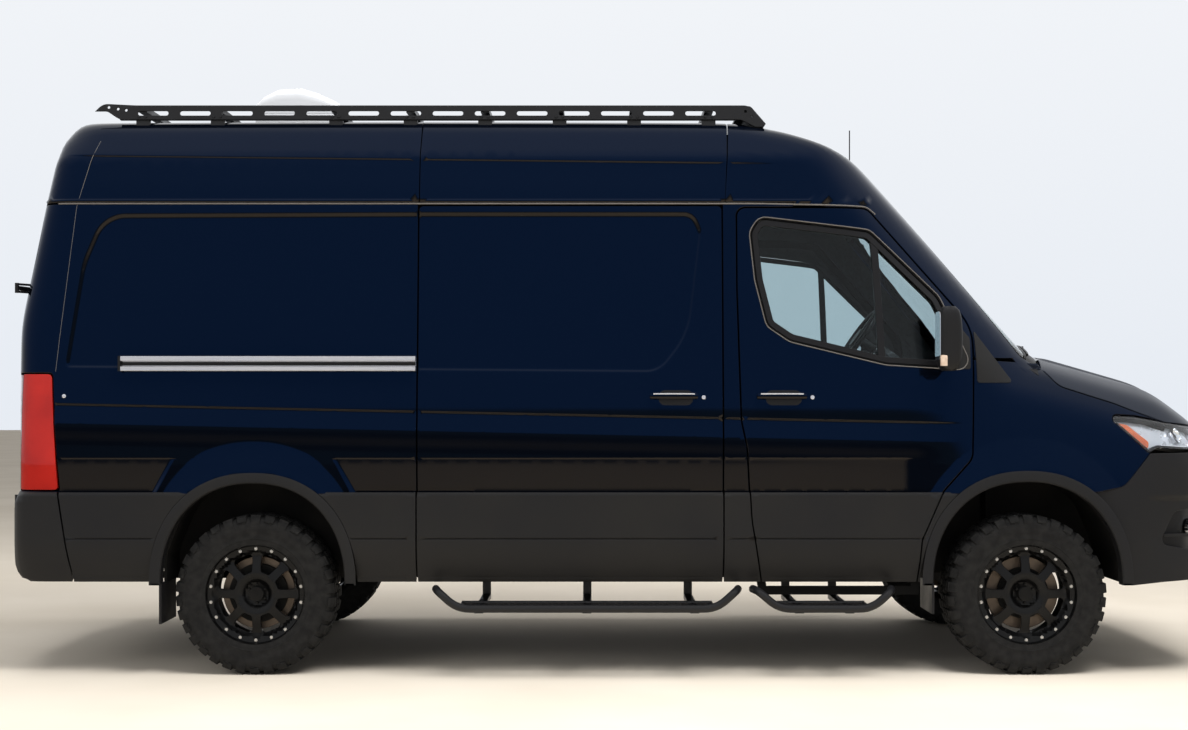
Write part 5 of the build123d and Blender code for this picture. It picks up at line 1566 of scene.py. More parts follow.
def strip(name, loops, key, side, lift, thick, way=Belt, slot=None, body="root", step=0.03, edge=0.0015,
          stands_for=()):
    """A thin panel of one material that lies on the skin, let in or raised by lift."""
    panel(name, way, loops, [M[key], M[key]], side, body, slot or SLOT_OF[key], step=step, thick=thick,
          edge=edge, lift=lift, stands_for=stands_for)


def skin_line(name, line, radius, parts, lift, side, body="root", closed=False):
    """A thin round edge that follows a line of the skin, light coloured as a painted highlight along it."""
    points, outs = land(Belt, line)
    solid(name, sideways(swept(points + outs * lift, radius, parts, closed=closed), side), "edge", body)


def skin_point(uv, side=LEFT, deep=0.0, way=Belt):
    """A point of the skin, deep metres inside it, and the way out of the skin there."""
    point, out = land(way, np.array([uv], float))
    point, out = point[0] - deep * out[0], out[0]
    if side == RIGHT:
        point, out = point * (1, -1, 1), out * (1, -1, 1)
    return point, out


def facing(out):
    """Turns +y to a direction; gives rows for moved()."""
    return np.array(Vector((0, 1, 0)).rotation_difference(Vector(out)).to_matrix())


# Lamps

lamp_inset = offset(lamp_ring, -0.002)
marker_loop = poly((0.438, 1.200), (0.500, 1.188, 0.02), (0.600, 1.106, 0.01), (0.596, 1.068, 0.01),
                   (0.560, 1.092, 0.02))
trim_loop = poly((0.655, 1.079), (0.90, 1.066), (1.26, 1.049), (1.26, 1.062), (0.92, 1.082), (0.67, 1.092))
REFLECTORS = [((0.80, 1.142), 0.038), ((0.965, 1.122), 0.036), ((1.12, 1.106), 0.030)]
TAIL_RING = rounded([(-4.772, 0.879), (-4.5975, 0.879, 0.01), (-4.6345, 1.427, 0.02), (-4.772, 1.427)], 0.02)
for side, word in SIDES:
    strip("headlamp_lens_" + word, [lamp_inset], "clear", side, -0.003, 0.004, step=0.025,
          stands_for="headlamps")
    strip("headlamp_bezel_" + word, [offset(lamp_ring, -0.0025), offset(lamp_ring, -0.013)], "black",
          side, -0.009, 0.06)
    strip("headlamp_bowl_" + word, [offset(lamp_ring, -0.010)], "lamp_inside", side, -0.040, 0.010,
          step=0.05)
    strip("marker_lamp_" + word, [marker_loop], "amber", side, -0.010, 0.03)
    strip("headlamp_trim_" + word, [trim_loop], "chrome", side, -0.010, 0.02)
    bowls, eyes = [], []
    for uv, radius in REFLECTORS:
        point, out = skin_point(uv, side, 0.020)
        turn = facing(unit(np.array([out + (0.5, 0, 0)]))[0])
        profile = [(radius * math.sin(t), -0.030 * math.cos(t)) for t in np.linspace(0, QUARTER, 8)]
        shell = profile + [(radius + 0.003, 0.0)] + [(r + 0.003, y - 0.003) for r, y in reversed(profile[1:])]
        bowls.append(moved(lathe(shell + [(0, -0.033)], 32), point, turn))
        ball = [(radius * 0.42 * math.sin(t), -0.022 - radius * 0.42 * math.cos(t) * 0.8)
                for t in np.linspace(0, math.pi, 10)]
        eyes.append(moved(lathe(ball, 24), point, turn))
    solid("reflectors_" + word, together(*bowls), "chrome")
    solid("lamp_eyes_" + word, together(*eyes), "black")
    strip("tail_lens_" + word, [TAIL_RING], "red", side, 0.0, 0.03, step=0.02, stands_for="tail_lamps")
    dark = poly(*rect(-4.832, -4.7745, 0.882, 1.424))
    strip("tail_lens_edge_" + word, [dark], "red_dark", side, -0.001, 0.03)
    back = poly(*rect(-4.862, -4.835, 0.882, 1.424))
    strip("tail_lens_back_" + word, [back], "red", side, -0.003, 0.03)

# Grille, intake and fog recess fillings

for side, word in SIDES:
    end = NOSE_MIDDLE - (0.0005 if side == LEFT else 0)
    back = poly((1.285, 1.040), (end, 0.990), (end, 1.168), (1.285, 1.168))
    strip("grille_back_" + word, [back], "black", side, -0.040, 0.006, step=0.06, stands_for="grille")
    frame_outer = poly((1.283, 1.052, 0.01), (end, 1.010), (end, 1.163), (1.283, 1.170, 0.01))
    frame_inner = poly((1.300, 1.066, 0.01), (end - 0.02, 1.026, 0.01), (end - 0.02, 1.150, 0.01),
                       (1.300, 1.155, 0.01))
    strip("grille_frame_" + word, [frame_outer, frame_inner], "black", side, 0.006, 0.045)
    for k in range(4):
        z = 1.060 + 0.026 * k
        slat = poly((1.298, z), (end - 0.018, z - 0.012), (end - 0.018, z - 0.001), (1.298, z + 0.011))
        strip(f"grille_slat_{word}_{k}", [slat], "grey", side, -0.004, 0.022, slot="black_plastic")
    for name, loop in (("fog_back", fog_loop), ("intake_back", poly(*rect(1.10, end, 0.490, 0.770)))):
        strip(f"{name}_{word}", [loop], "black", side, -0.050, 0.006, step=0.06)
    bar = poly((0.660, 0.652), (1.040, 0.648), (1.045, 0.662), (0.664, 0.667))
    strip("fog_bar_" + word, [bar], "grey", side, -0.004, 0.02)
    for k in range(4):
        z = 0.520 + 0.062 * k
        slat = poly(*rect(1.11, end, z, z + 0.020))
        strip(f"intake_slat_{word}_{k}", [slat], "black", side, -0.010, 0.035)
    point, out = skin_point((0.87, 0.690), side, 0.010)
    fog = lathe([(0, 0.0), (0.036, -0.002), (0.044, -0.006), (0.046, -0.04), (0, -0.04)], 32)
    solid("fog_lamp_" + word, moved(fog, point, facing(out)), "clear")
    bowl = lathe([(0, -0.034), (0.020, -0.028), (0.038, -0.012), (0.042, -0.012), (0.042, -0.038),
                  (0, -0.038)], 32)
    solid("fog_reflector_" + word, moved(bowl, point, facing(out)), "chrome")

# Door window frames, dividers, mirror triangles and handles

frame_in = offset(window_loop, -0.030)
for side, word in SIDES:
    door = "door_" + word
    strip("window_frame_" + word, [offset(window_loop, -0.0015), frame_in], "black", side, -0.004, 0.03,
          body=door, edge=0.002)
    divider = poly((-0.735, 2.100), (-0.700, 2.092), (-0.668, 1.478), (-0.703, 1.484))
    strip("window_divider_" + word, [divider], "black", side, -0.006, 0.02, body=door)
    strip("window_seal_" + word, [offset(window_loop, 0.007), offset(window_loop, 0.0008)], "seal", side,
          0.0012, 0.006, body=door, edge=0.001)
    corner_trim = poly((-0.330, 1.452, 0.01), (-0.262, 1.450, 0.01), (-0.256, 1.600, 0.02),
                       (-0.355, 1.722, 0.01), (-0.365, 1.700, 0.01))
    strip("mirror_triangle_" + word, [corner_trim], "grey", side, 0.002, 0.02, slot="black_plastic",
          body=door)
    fender_trim = poly((-0.232, 1.640, 0.004), (-0.232, 1.386, 0.012), (-0.045, 1.386, 0.012))
    strip("fender_trim_" + word, [fender_trim], "grey", side, 0.003, 0.010)
    # Painted highlight: a light edge round the window frame.
    skin_line("window_edge_" + word, offset(window_loop, 0.010), 0.0028, 6, 0.0015, side, door, closed=True)

HANDLE_Z = 1.321
for name, x0, x1, side, body in (("slide", -1.800, -1.556, RIGHT, "root"),
                                 ("front_right", -1.292, -1.040, RIGHT, "door_right"),
                                 ("front_left", -1.292, -1.040, LEFT, "door_left")):
    cup = poly(*rect(x0 + 0.05, x1 - 0.03, HANDLE_Z - 0.042, HANDLE_Z + 0.030, 0.03))
    strip("handle_cup_" + name, [cup], "black", side, 0.0006, 0.004, body=body)
    mid = []
    for x in np.linspace(x0 + 0.012, x1 - 0.012, 18):
        point, out = skin_point((x, HANDLE_Z), side, 0.0)
        rise = 0.028 - 0.020 * abs((x - (x0 + x1) / 2) / ((x1 - x0) / 2)) ** 4
        mid.append(point + out * rise)
    mid = np.array(mid)
    radii = 0.010 + 0.002 * np.sin(np.linspace(0, math.pi, 18))
    verts, faces = swept(mid, radii, 14)
    centre = np.repeat(mid, 14, 0)
    verts = centre + (verts - centre) * (1, 0.5, 1.25)
    solid("handle_bar_" + name, (verts, faces), "paint", body, crisp=60)
    # Painted highlight: a bright metal strip along the top of each bar stands for the light line there.
    glint = swept(mid[1:-1] + (0, side * 0.003, 0.0105), 0.0042, 10)
    solid("handle_glint_strip_" + name, glint, "bright", body)
    point, out = skin_point((x1 + 0.020, HANDLE_Z - 0.004), side, 0.004)
    lock = lathe([(0, 0.008), (0.008, 0.008), (0.010, 0.006), (0.010, -0.002), (0, -0.002)], 20)
    solid("handle_lock_" + name, moved(lock, point, facing(out)), "bright", body)

# Sliding-door rail: two bright strips with a groove between them

RAIL_REAR, RAIL_FRONT = REAR_X - 0.642, SLIDE_REAR - 0.008
RAIL_FACE = 0.995
rail_rows = [(-0.950, 1.4415), (-RAIL_FACE, 1.4415), (-RAIL_FACE - 0.003, 1.4445),
             (-RAIL_FACE - 0.003, 1.4625), (-RAIL_FACE, 1.4650), (-RAIL_FACE + 0.016, 1.4665),
             (-RAIL_FACE + 0.016, 1.4865), (-RAIL_FACE, 1.4880), (-RAIL_FACE - 0.003, 1.4910),
             (-RAIL_FACE - 0.003, 1.5085), (-RAIL_FACE, 1.5115), (-0.950, 1.5115)]


def bar_along_x(rows, x0, x1):
    """A section of (y, z) rows pushed along x."""
    return slab(rows, x0, x1, lengthways)


solid("rail_skin", bar_along_x(rail_rows, RAIL_REAR, RAIL_FRONT), "bright", crisp=25,
      stands_for="sliding_door_rail")
rail_cap = bar_along_x([(-0.950, 1.4405), (-RAIL_FACE - 0.0035, 1.4405), (-RAIL_FACE - 0.0035, 1.5125),
                        (-0.950, 1.5125)], RAIL_REAR, RAIL_REAR + 0.012)
solid("rail_end", rail_cap, "black")
groove = bar_along_x([(-RAIL_FACE + 0.013, 1.468), (-RAIL_FACE + 0.018, 1.468), (-RAIL_FACE + 0.018, 1.485),
                      (-RAIL_FACE + 0.013, 1.485)], RAIL_REAR + 0.013, RAIL_FRONT - 0.001)
solid("rail_groove", groove, "black", smooth=False)

# Side steps

STEP_Y, STEP_Z, STEP_R = 1.090, 0.330, 0.019


def bent(rows, radius=0.06):
    """A smooth route through corner points in space."""
    rows = np.array(rows, float)
    out = [rows[0]]
    for a, b, c in zip(rows, rows[1:], rows[2:]):
        back, ahead = a - b, c - b
        room = min(radius, np.linalg.norm(back) * 0.49, np.linalg.norm(ahead) * 0.49)
        start, end = b + back / np.linalg.norm(back) * room, b + ahead / np.linalg.norm(ahead) * room
        for t in np.linspace(0, 1, 7):
            out.append((1 - t) ** 2 * start + 2 * t * (1 - t) * b + t * t * end)
    out.append(rows[-1])
    return np.array(out)


def step_hoop(x0, x1, side):
    """The bent outer tube, an inner bar with its links, and brackets up to the sill."""
    y_in, y_out, y_back = side * (STEP_Y - 0.110), side * STEP_Y, side * (STEP_Y - 0.150)
    z_up, z_bar = STEP_Z + 0.08, STEP_Z + 0.009
    tube = swept(bent([(x0, y_in, z_up), (x0 + 0.02, y_out, z_up), (x0 + 0.11, y_out, STEP_Z),
                       (x1 - 0.11, y_out, STEP_Z), (x1 - 0.02, y_out, z_up), (x1, y_in, z_up)]),
                 STEP_R - 0.0003, 16)
    parts = [tube, swept([(x0 + 0.12, y_back, z_bar), (x1 - 0.12, y_back, z_bar)], 0.010, 12)]
    for x in (x0 + 0.125, x1 - 0.125):
        parts.append(swept([(x, y_back, z_bar), (x, side * (STEP_Y - 0.010), z_bar)], 0.008, 10))
    count = 3 if x1 - x0 > 1.0 else 2
    for k in range(count):
        x = x0 + 0.21 + k * (x1 - x0 - 0.42) / (count - 1)
        for y0, y1, top in ((0.52, STEP_Y - 0.009, STEP_Z + 0.001), (0.508, 0.519, 0.51)):
            low, high = sorted((side * y0, side * y1))
            parts.append(box_mesh((x - 0.021, low, STEP_Z - 0.023), (x + 0.021, high, top), 0.003))
    return together(*parts)


def step_mesh(x0, x1, side):
    """Expanded metal: crossed slanting strands inside the frame."""
    parts = []
    y0, y1 = STEP_Y - 0.148, STEP_Y - 0.012
    xa, xb = x0 + 0.127, x1 - 0.127
    lean, pitch, strand = 0.055, 0.030, 0.0022
    for way in (-1, 1):
        for x in np.arange(xa - lean, xb + lean, pitch):
            ends = sorted([(x, y0), (x + way * lean, y1)], key=lambda q: q[1])
            (u0, v0), (u1, v1) = ends
            t0, t1 = 0.0, 1.0
            if u1 != u0:
                cuts = sorted([(xa - u0) / (u1 - u0), (xb - u0) / (u1 - u0)])
                t0, t1 = max(t0, cuts[0]), min(t1, cuts[1])
            if t1 - t0 < 0.15:
                continue
            z = STEP_Z + 0.0095 + 0.0008 * way
            a = (u0 + (u1 - u0) * t0, side * (v0 + (v1 - v0) * t0), z)
            b = (u0 + (u1 - u0) * t1, side * (v0 + (v1 - v0) * t1), z)
            parts.append(swept([a, b], strand, 4))
    return together(*parts)


for name, x0, x1, side in (("long", -2.805, -1.375, RIGHT), ("short_right", -1.305, -0.650, RIGHT),
                           ("short_left", -1.305, -0.650, LEFT)):
    solid("step_" + name, step_hoop(x0, x1, side), "steel", stands_for="side_steps")
    solid("step_mesh_" + name, step_mesh(x0, x1, side), "steel")

# Roof rack: slotted side rails, bars, feet, fairing

RACK_Y, RACK_T = 0.723, 0.008
rack_low = [(x / 1000, z / 1000, *(r / 1000 for r in bend)) for x, z, *bend in (
    (-4498, 2716), (-4458, 2754, 60), (-4298, 2746, 100), (-1297, 2746, 60), (-1207, 2640, 20),
    (-1267, 2640, 20), (-1337, 2676, 40), (-4378, 2676, 60), (-4438, 2716, 30))]
SLOTS, SLOT_PITCH, SLOT_LONG = 14, 0.206, 0.150
FAN_MID = REAR_X + 0.045
FAN_HALF = 0.205


def hole_at(x, z, half_long, half_high):
    return rounded(rect(x - half_long, x + half_long, z - half_high, z + half_high, half_high), 0.01)


rack_outline = offset(rounded(rack_low, 0.02), -0.0003)
rail_holes = [hole_at(-4.4985 + 0.2105 + k * SLOT_PITCH + SLOT_LONG / 2, 2.707, SLOT_LONG / 2, 0.011)
              for k in range(SLOTS)]
rail_holes += [hole_at(x, z, 0.007, 0.007) for x, z in ((-4.430, 2.736), (-4.385, 2.728), (-4.345, 2.722),
                                                        (-1.315, 2.716), (-1.285, 2.690))]


def flat_plate(loops, y0, y1, bevel=0.0012):
    """A sheet cut to loops in side view, from y0 out to y1."""
    return dished(loops, abs(y1 - y0), bevel, 0.2, lambda r: np.full(len(r), max(y0, y1)))


rack_parts = []
for side in (LEFT, RIGHT):
    plate = flat_plate([rack_outline, *rail_holes], RACK_Y, RACK_Y + RACK_T)
    rack_parts.append(sideways(plate, side))
    low, high = sorted((side * (RACK_Y - 0.026), side * (RACK_Y + 0.001)))
    rack_parts.append(box_mesh((-4.378, low, 2.676), (-1.337, high, 2.682), 0.001))
BAR_PITCH = 0.365
bar_xs = [FAN_MID - FAN_HALF - 0.075, FAN_MID - FAN_HALF - 0.075 - BAR_PITCH]
bar_x = FAN_MID + FAN_HALF + 0.095
while bar_x < -1.407:
    bar_xs.append(bar_x)
    bar_x += BAR_PITCH
feet = []
for x in bar_xs:
    bar = [(x - 0.021, 2.713), (x + 0.021, 2.713), (x + 0.021, 2.739), (x + 0.008, 2.7395),
           (x + 0.007, 2.733), (x - 0.007, 2.733), (x - 0.008, 2.7395), (x - 0.021, 2.739)]
    rack_parts.append(slab(bar, -RACK_Y, RACK_Y, crosswise))
    for side in (LEFT, RIGHT):
        low, high = sorted((side * (RACK_Y - 0.0255), side * (RACK_Y - 0.0005)))
        feet.append(box_mesh((x - 0.034, low, 2.615), (x + 0.034, high, 2.681), 0.003))
        bolt = lathe([(0, 0.006), (0.006, 0.006), (0.007, 0.004), (0.007, 0.0), (0, 0.0)], 8)
        for dx in (-0.016, 0.016):
            feet.append(sideways(moved(bolt, (x + dx, RACK_Y + RACK_T - 0.001, 2.690)), side))
solid("rack_skin", together(*rack_parts), "steel", crisp=30, stands_for="roof_rack")
solid("rack_feet", together(*feet), "steel")
fairing = poly((-1.337, 2.744), (-1.290, 2.743, 0.02), (-1.215, 2.657), (-1.2275, 2.657),
               (-1.295, 2.733, 0.02), (-1.337, 2.734))
solid("rack_fairing", slab(fairing, -RACK_Y, RACK_Y, crosswise), "steel")

# Roof fan: a grey base with a white lid that slopes down to the front

LID_TOP = [(-0.213, 2.800), (-0.213, 2.850), (-0.165, 2.900), (-0.090, 2.937), (0.030, 2.944), (0.120, 2.915),
           (0.235, 2.860), (0.235, 2.800)]
lid_rows = [(u, v, 0.03) if 0 < k < 7 else (u, v) for k, (u, v) in enumerate(LID_TOP)]
lid_line = rounded(lid_rows, 0.012, closed=False)


def lid_mesh():
    """Sections across the lid, drawn in and rounded off towards its sides."""
    ys = FAN_HALF * np.sin(np.linspace(-QUARTER, QUARTER, 25))
    verts = []
    for y in ys:
        share = abs(y) / FAN_HALF
        high = (1 - share ** 6) ** (1 / 3)
        rise = 2.800 + (lid_line[:, 1] - 2.800) * (0.50 + 0.50 * high)
        pull = 1 - 0.03 * share ** 4
        verts += [(FAN_MID + u * pull, y, z) for u, z in zip(lid_line[:, 0], rise)]
    return np.array(verts), stacked(len(ys), len(lid_line), flip=True)


solid("fan_lid", lid_mesh(), "white", crisp=50, stands_for="roof_fan")
base = box_mesh((FAN_MID - 0.204, -0.204, 2.700), (FAN_MID + 0.204, 0.204, 2.789), 0.006)
flange = box_mesh((FAN_MID - 0.2045, -0.2045, 2.700), (FAN_MID + 0.2045, 0.2045, 2.726), 0.004)
solid("fan_base", together(base, flange), "fan_grey")
rim = box_mesh((FAN_MID - 0.2125, -0.204, 2.7905), (FAN_MID + 0.234, 0.204, 2.801), 0.002)
solid("fan_rim", rim, "white")

# Wing mirrors: a rounded shell with a repeater, the glass towards the rear, and an arm

def mirror_shell():
    """Rounded sections stacked upwards; wider in the middle and tilted forward at the top."""
    y_in, y_out = 1.032, 1.1705
    verts = []
    levels = np.linspace(0, 1, 18)
    for t in levels:
        z = 1.4405 + 0.299 * t
        pinch = (1 - abs(2 * t - 1) ** 5) ** 0.45
        front = -0.3455 - 0.012 * abs(2 * t - 1) ** 2
        back = -0.4545 + 0.004 * (1 - pinch)
        half_y = (y_out - y_in) / 2 * (0.72 + 0.28 * pinch)
        mid_y, mid_x = (y_in + y_out) / 2, (front + back) / 2
        half_x = (front - back) / 2 * (0.55 + 0.45 * pinch)
        for a in np.linspace(0, 2 * math.pi, 32, endpoint=False):
            c, w = math.cos(a), math.sin(a)
            u = mid_x + half_x * np.sign(c) * abs(c) ** 0.62
            v = mid_y + half_y * np.sign(w) * abs(w) ** 0.45
            verts.append((u, v, z))
    return np.array(verts), stacked(len(levels), 32)


for side, word in SIDES:
    door = "door_" + word
    solid("mirror_skin_" + word, sideways(mirror_shell(), side), "grey", door, slot="black_plastic",
          crisp=50, stands_for="mirror_" + word)
    glass, faces = slab(poly(*rect(1.046, 1.152, 1.485, 1.716, 0.03), step=0.01), -0.004, -0.0002, lengthways)
    glass = (glass * (-1, 1, 1) - (0.4552, 0, 0), [f[::-1] for f in faces])
    solid("mirror_glass_" + word, sideways(glass, side), "mirror", door, smooth=False)
    repeater = box_mesh((-0.4545, 1.148, 1.462), (-0.422, 1.1715, 1.512), 0.006)
    solid("mirror_repeater_" + word, sideways(repeater, side), "repeater", door)
    arm = swept([(-0.375, 0.942, 1.472), (-0.380, 0.99, 1.470), (-0.392, 1.045, 1.476)],
                [0.030, 0.026, 0.030], 18)
    arm = (arm[0] * (1, 1, 0.75) + (0, 0, 1.474 * 0.25), arm[1])
    solid("mirror_arm_" + word, sideways(arm, side), "grey", door, slot="black_plastic")

# Seals behind the gaps

SEAL_DEEP, SEAL_T = 0.056, 0.006


def seal(name, loops, side, deep=SEAL_DEEP, way=Belt, step=0.05):
    strip(name, loops, "seal", side, -deep, SEAL_T, way, step=step, edge=0.001)


def around(loop):
    return [offset(loop, 0.022), offset(loop, -0.020)]


seal("seal_slide", around(slide_loop), RIGHT)
outer_ring, inner_ring = offset(rear_door_ring, 0.020), offset(rear_door_ring, -0.020)
seal_box = spaced(rect(-0.020, 2, 0.3, 3), 0.05)
seal_flat = largest(cut([outer_ring, inner_ring, seal_box],
                        lambda q: within(outer_ring, inner_ring)(q) & inside(q, seal_box)))
rear_seal = [onto(Tail, loop, Belt) for loop in seal_flat]
fender_back = spaced([(0.06, 1.47), (0.16, 1.355), (0.30, 1.310), (0.60, 1.215), (0.74, 1.170), (0.78, 1.200),
                      (0.62, 1.262), (0.32, 1.358), (0.205, 1.400), (0.11, 1.505)], 0.03)
for side, word in SIDES:
    seal("seal_door_" + word, around(door_loop), side)
    seal("seal_rear_" + word, rear_seal, side)
    seal("seal_bonnet_" + word, [fender_back], side, 0.034)
middle_seal = onto(Tail, spaced(rect(-0.022, 0.022, 0.655, 2.455), 0.03), Belt)
seal("seal_rear_middle", [middle_seal], LEFT, SEAL_DEEP + 0.001)
for name, x in (("rear", SEAM_REAR), ("front", SEAM_FRONT)):
    loop = spaced(list(mirrored(gutter_line(x - 0.02, x + 0.02))), 0.03)
    seal("seal_roof_" + name, [loop], LEFT, 0.054, way=Lid, step=0.06)

# Drip rails along the roof's foot and down the windscreen pillars

for side, word in SIDES:
    drip = rounded([(-4.640, 2.2445), (-1.30, 2.2445, 0.5), (-0.742, 2.2345, 0.06), (-0.700, 2.200)], 0.03,
                   closed=False)
    # Painted highlight: the rail's light colour stands for the glint along it.
    skin_line("drip_rail_" + word, drip, 0.0042, 8, -0.001, side)

# Cowl and wipers

frit = [screen_outline(-0.002), screen_outline(-0.040)]
strip("windscreen_border", frit, "seal", LEFT, -0.0125, 0.002, Screen, step=0.05, edge=0.0008)
strip("windscreen_seal", [screen_outline(0.004), screen_outline(-0.004)], "seal", LEFT, 0.0, 0.010,
      Screen, step=0.05, edge=0.001)
cowl_rows = np.array([(bonnet_rear_x(y) - GAP - 0.001, y) for y in np.linspace(-0.83, 0.83, 40)])
cowl_back = np.array([(bonnet_rear_x(y) - 0.075, y) for y in np.linspace(0.80, -0.80, 40)])
cowl_loop = onto(Top, np.concatenate([cowl_rows, cowl_back]), Lid)
strip("cowl_grille", [cowl_loop], "black", LEFT, 0.0015, 0.010, Lid, step=0.05)

for name, y0, y1 in (("left", 0.60, -0.04), ("right", -0.10, -0.68)):
    arm_ys = np.linspace(y0, (y0 + y1) / 2, 14)
    arm_downs = SCREEN_LENGTH - 0.070 - 0.030 * np.linspace(0, 1, 14)
    arm_line = [skin_point(uv, LEFT, -0.014, Screen)[0] for uv in zip(arm_ys, arm_downs)]
    blade_line = [skin_point((y, SCREEN_LENGTH - 0.100), LEFT, -0.008, Screen)[0]
                  for y in np.linspace(y0 - 0.05, y1, 24)]
    arm = swept(arm_line, np.linspace(0.007, 0.004, 14), 10)
    solid("wiper_" + name, together(arm, swept(blade_line, 0.005, 8)), "black")

# Rear: hinges, handle, plate, brake lamp, sensors, body plugs and corner seam highlights

REAR_HINGE_Z = (0.826, 1.843)
HINGE_AT = (REAR_X - 1.135 - REAR_BULGE * (1 - REAR_DOOR_HALF / HALF) - 0.020, REAR_DOOR_HALF + 0.010)
PIN_R = 0.0098


def pin(z0, z1):
    return swept([(*HINGE_AT, z0), (*HINGE_AT, z1)], PIN_R, 18)


def leaf(a, b, z0, z1, thick=0.006):
    """An upright plate from the hinge pin to the skin."""
    a, b = np.array(a[:2]), np.array(b[:2])
    along = (b - a) / np.linalg.norm(b - a)
    across = np.array([-along[1], along[0]]) * thick / 2
    outline = [tuple(a + across), tuple(a - across), tuple(b + along * 0.004 - across),
               tuple(b + along * 0.004 + across)]
    return slab(outline, z0, z1, upright, 0.001)


for side, word in SIDES:
    body = "rear_door_" + word
    for z in REAR_HINGE_Z:
        barrel = pin(z - 0.0118, z + 0.0118)
        solid(f"hinge_door_{word}_{int(z * 1000)}", sideways(barrel, side), "black", body,
              slot="black_metal")
        ends = together(pin(z + 0.0125, z + 0.0238), pin(z - 0.0238, z - 0.0125))
        solid(f"hinge_body_{word}_{int(z * 1000)}", sideways(ends, side), "black",
              slot="black_metal")
    z = REAR_HINGE_Z[1]
    on_door, on_post = land(Belt, onto(Tail, np.array([(0.70, z), (0.805, z)]), Belt))[0]
    strap = leaf(HINGE_AT, on_door, z - 0.0110, z + 0.0110)
    post = together(leaf(HINGE_AT, on_post, z - 0.0235, z - 0.0130),
                    leaf(HINGE_AT, on_post, z + 0.0130, z + 0.0235))
    solid("hinge_strap_" + word, sideways(strap, side), "black", body, slot="black_metal")
    solid("hinge_post_" + word, sideways(post, side), "black", slot="black_metal")
plate_loop = onto(Tail, poly(*rect(0.13, 0.65, 0.90, 1.02, 0.01)), Belt)
strip("plate_rear", [plate_loop], "white", RIGHT, -0.006, 0.002, body="rear_door_right", step=0.05)
handle_loop = onto(Tail, poly(*rect(0.045, 0.085, 1.405, 1.255, 0.01)), Belt)
strip("rear_handle", [handle_loop], "black", RIGHT, 0.006, 0.010, body="rear_door_right", step=0.03)
brake = onto(Top, poly((-4.600, 0.0), (-4.600, 0.19, 0.008), (-4.578, 0.19, 0.008), (-4.578, -0.19, 0.008),
                       (-4.600, -0.19, 0.008)), Lid)
strip("brake_lamp_high", [brake], "red_dark", LEFT, 0.001, 0.01, Lid, step=0.04)
for side, word in SIDES:
    disc = lathe([(0, 0.0035), (0.0095, 0.003), (0.0110, 0.0015), (0.0110, -0.010), (0, -0.010)], 24)
    flat_disc = moved(disc, (-4.530, side * (CLAD_Y - 0.0035), 0.733), facing((0, side, 0)))
    solid("sensor_rear_" + word, flat_disc, "black")
    plug, out = skin_point((-4.570, 1.323), side, 0.0005)
    dot = lathe([(0, 0.0012), (0.0085, 0.0010), (0.0100, 0.0), (0.0100, -0.006), (0, -0.006)], 24)
    solid("body_plug_" + word, moved(dot, plug, facing(out)), "bright")
    # Painted highlight: a light line down each rear corner where the side meets the corner panel.
    seam = rounded([(-4.447, 2.560), (-4.532, 2.232, 0.3), (-4.614, 1.440)], 0.03, closed=False)
    skin_line("corner_seam_highlight_" + word, seam, 0.0014, 6, -0.0008, side)

# Rear bumper: wraps the corners, runs under the doors and carries a step

REAR_MIDDLE = REAR_TURN - REAR_ROUND * QUARTER - (HALF - REAR_ROUND)
bumper_wrap = spaced([(-4.534, 0.440), (-4.534, 0.490), (-4.594, 0.872), (REAR_MIDDLE, 0.872),
                      (REAR_MIDDLE, 0.440)], 0.03)
door_foot = onto(Tail, spaced(rect(-0.3, REAR_DOOR_HALF + GAP, 0.634, 1.2), 0.03), Belt)
wrap_region = largest(region(bumper_wrap, spaced(list(door_foot), 0.03), step=0.03))
for side, word in SIDES:
    panel("rear_bumper_" + word, Belt, wrap_region, CLAD, side, "root", "grey_plastic", step=0.03,
          thick=0.03, edge=0.002, field=clad_field, stands_for="rear_bumper")
step_loop = poly((-4.868, -0.52, 0.02), (-4.868, 0.52, 0.02), (-4.915, 0.46, 0.05), (-4.920, 0.0, 1.0),
                 (-4.915, -0.46, 0.05), step=0.03)
step_block = slab(step_loop, 0.470, 0.598, upright, 0.006)
solid("rear_step", step_block, "grey")
treads = [box_mesh((-4.908, y, 0.597), (-4.876, y + 0.05, 0.600), 0.001)
          for y in np.arange(-0.43, 0.40, 0.075)]
solid("rear_step_grip", together(*treads), "black")

# Cabin: padded seats, and materials of the pieces kept from the CAD

SEAT_Y = 0.44


def swell(v, power):
    return np.sign(v) * np.abs(v) ** power


def pulled(x, y):
    """How far a cushion's sides draw in between its corners."""
    return 1 - 0.035 * (1 - x * x) - 0.035 * (1 - y * y)


def cushion(half, crown, across=40, up=28):
    """A crowned block: superellipse sections whose sides pull in between the corners."""
    verts = []
    t = 2 * math.pi * np.arange(across) / across
    for phi in -QUARTER + math.pi * np.arange(up + 1) / up:
        x = swell(math.cos(phi), 0.30) * swell(np.cos(t), 0.32)
        y = swell(math.cos(phi), 0.30) * swell(np.sin(t), 0.32)
        z = float(swell(math.sin(phi), 0.55))
        channel = 0.010 * np.cos(math.pi * 3.5 * y) ** 8 * (abs(z) > 0.3)
        high = z * (half[2] + crown * (1 - x * x) * (1 - y * y)) - channel * math.copysign(1, z)
        verts.append(np.column_stack([x * half[0] * pulled(x, y), y * half[1] * pulled(x, y), high]))
    return np.concatenate(verts), stacked(up + 1, across)


def piping(half):
    t = np.linspace(0, 2 * math.pi, 80, endpoint=False)
    x, y = swell(np.cos(t), 0.32), swell(np.sin(t), 0.32)
    route = np.column_stack([x * half[0] * pulled(x, y), y * half[1] * pulled(x, y), 0 * t])
    return swept(route, 0.004, 8, closed=True)


def about_y(angle):
    c, w = math.cos(angle), math.sin(angle)
    return [(c, 0, w), (0, 1, 0), (-w, 0, c)]


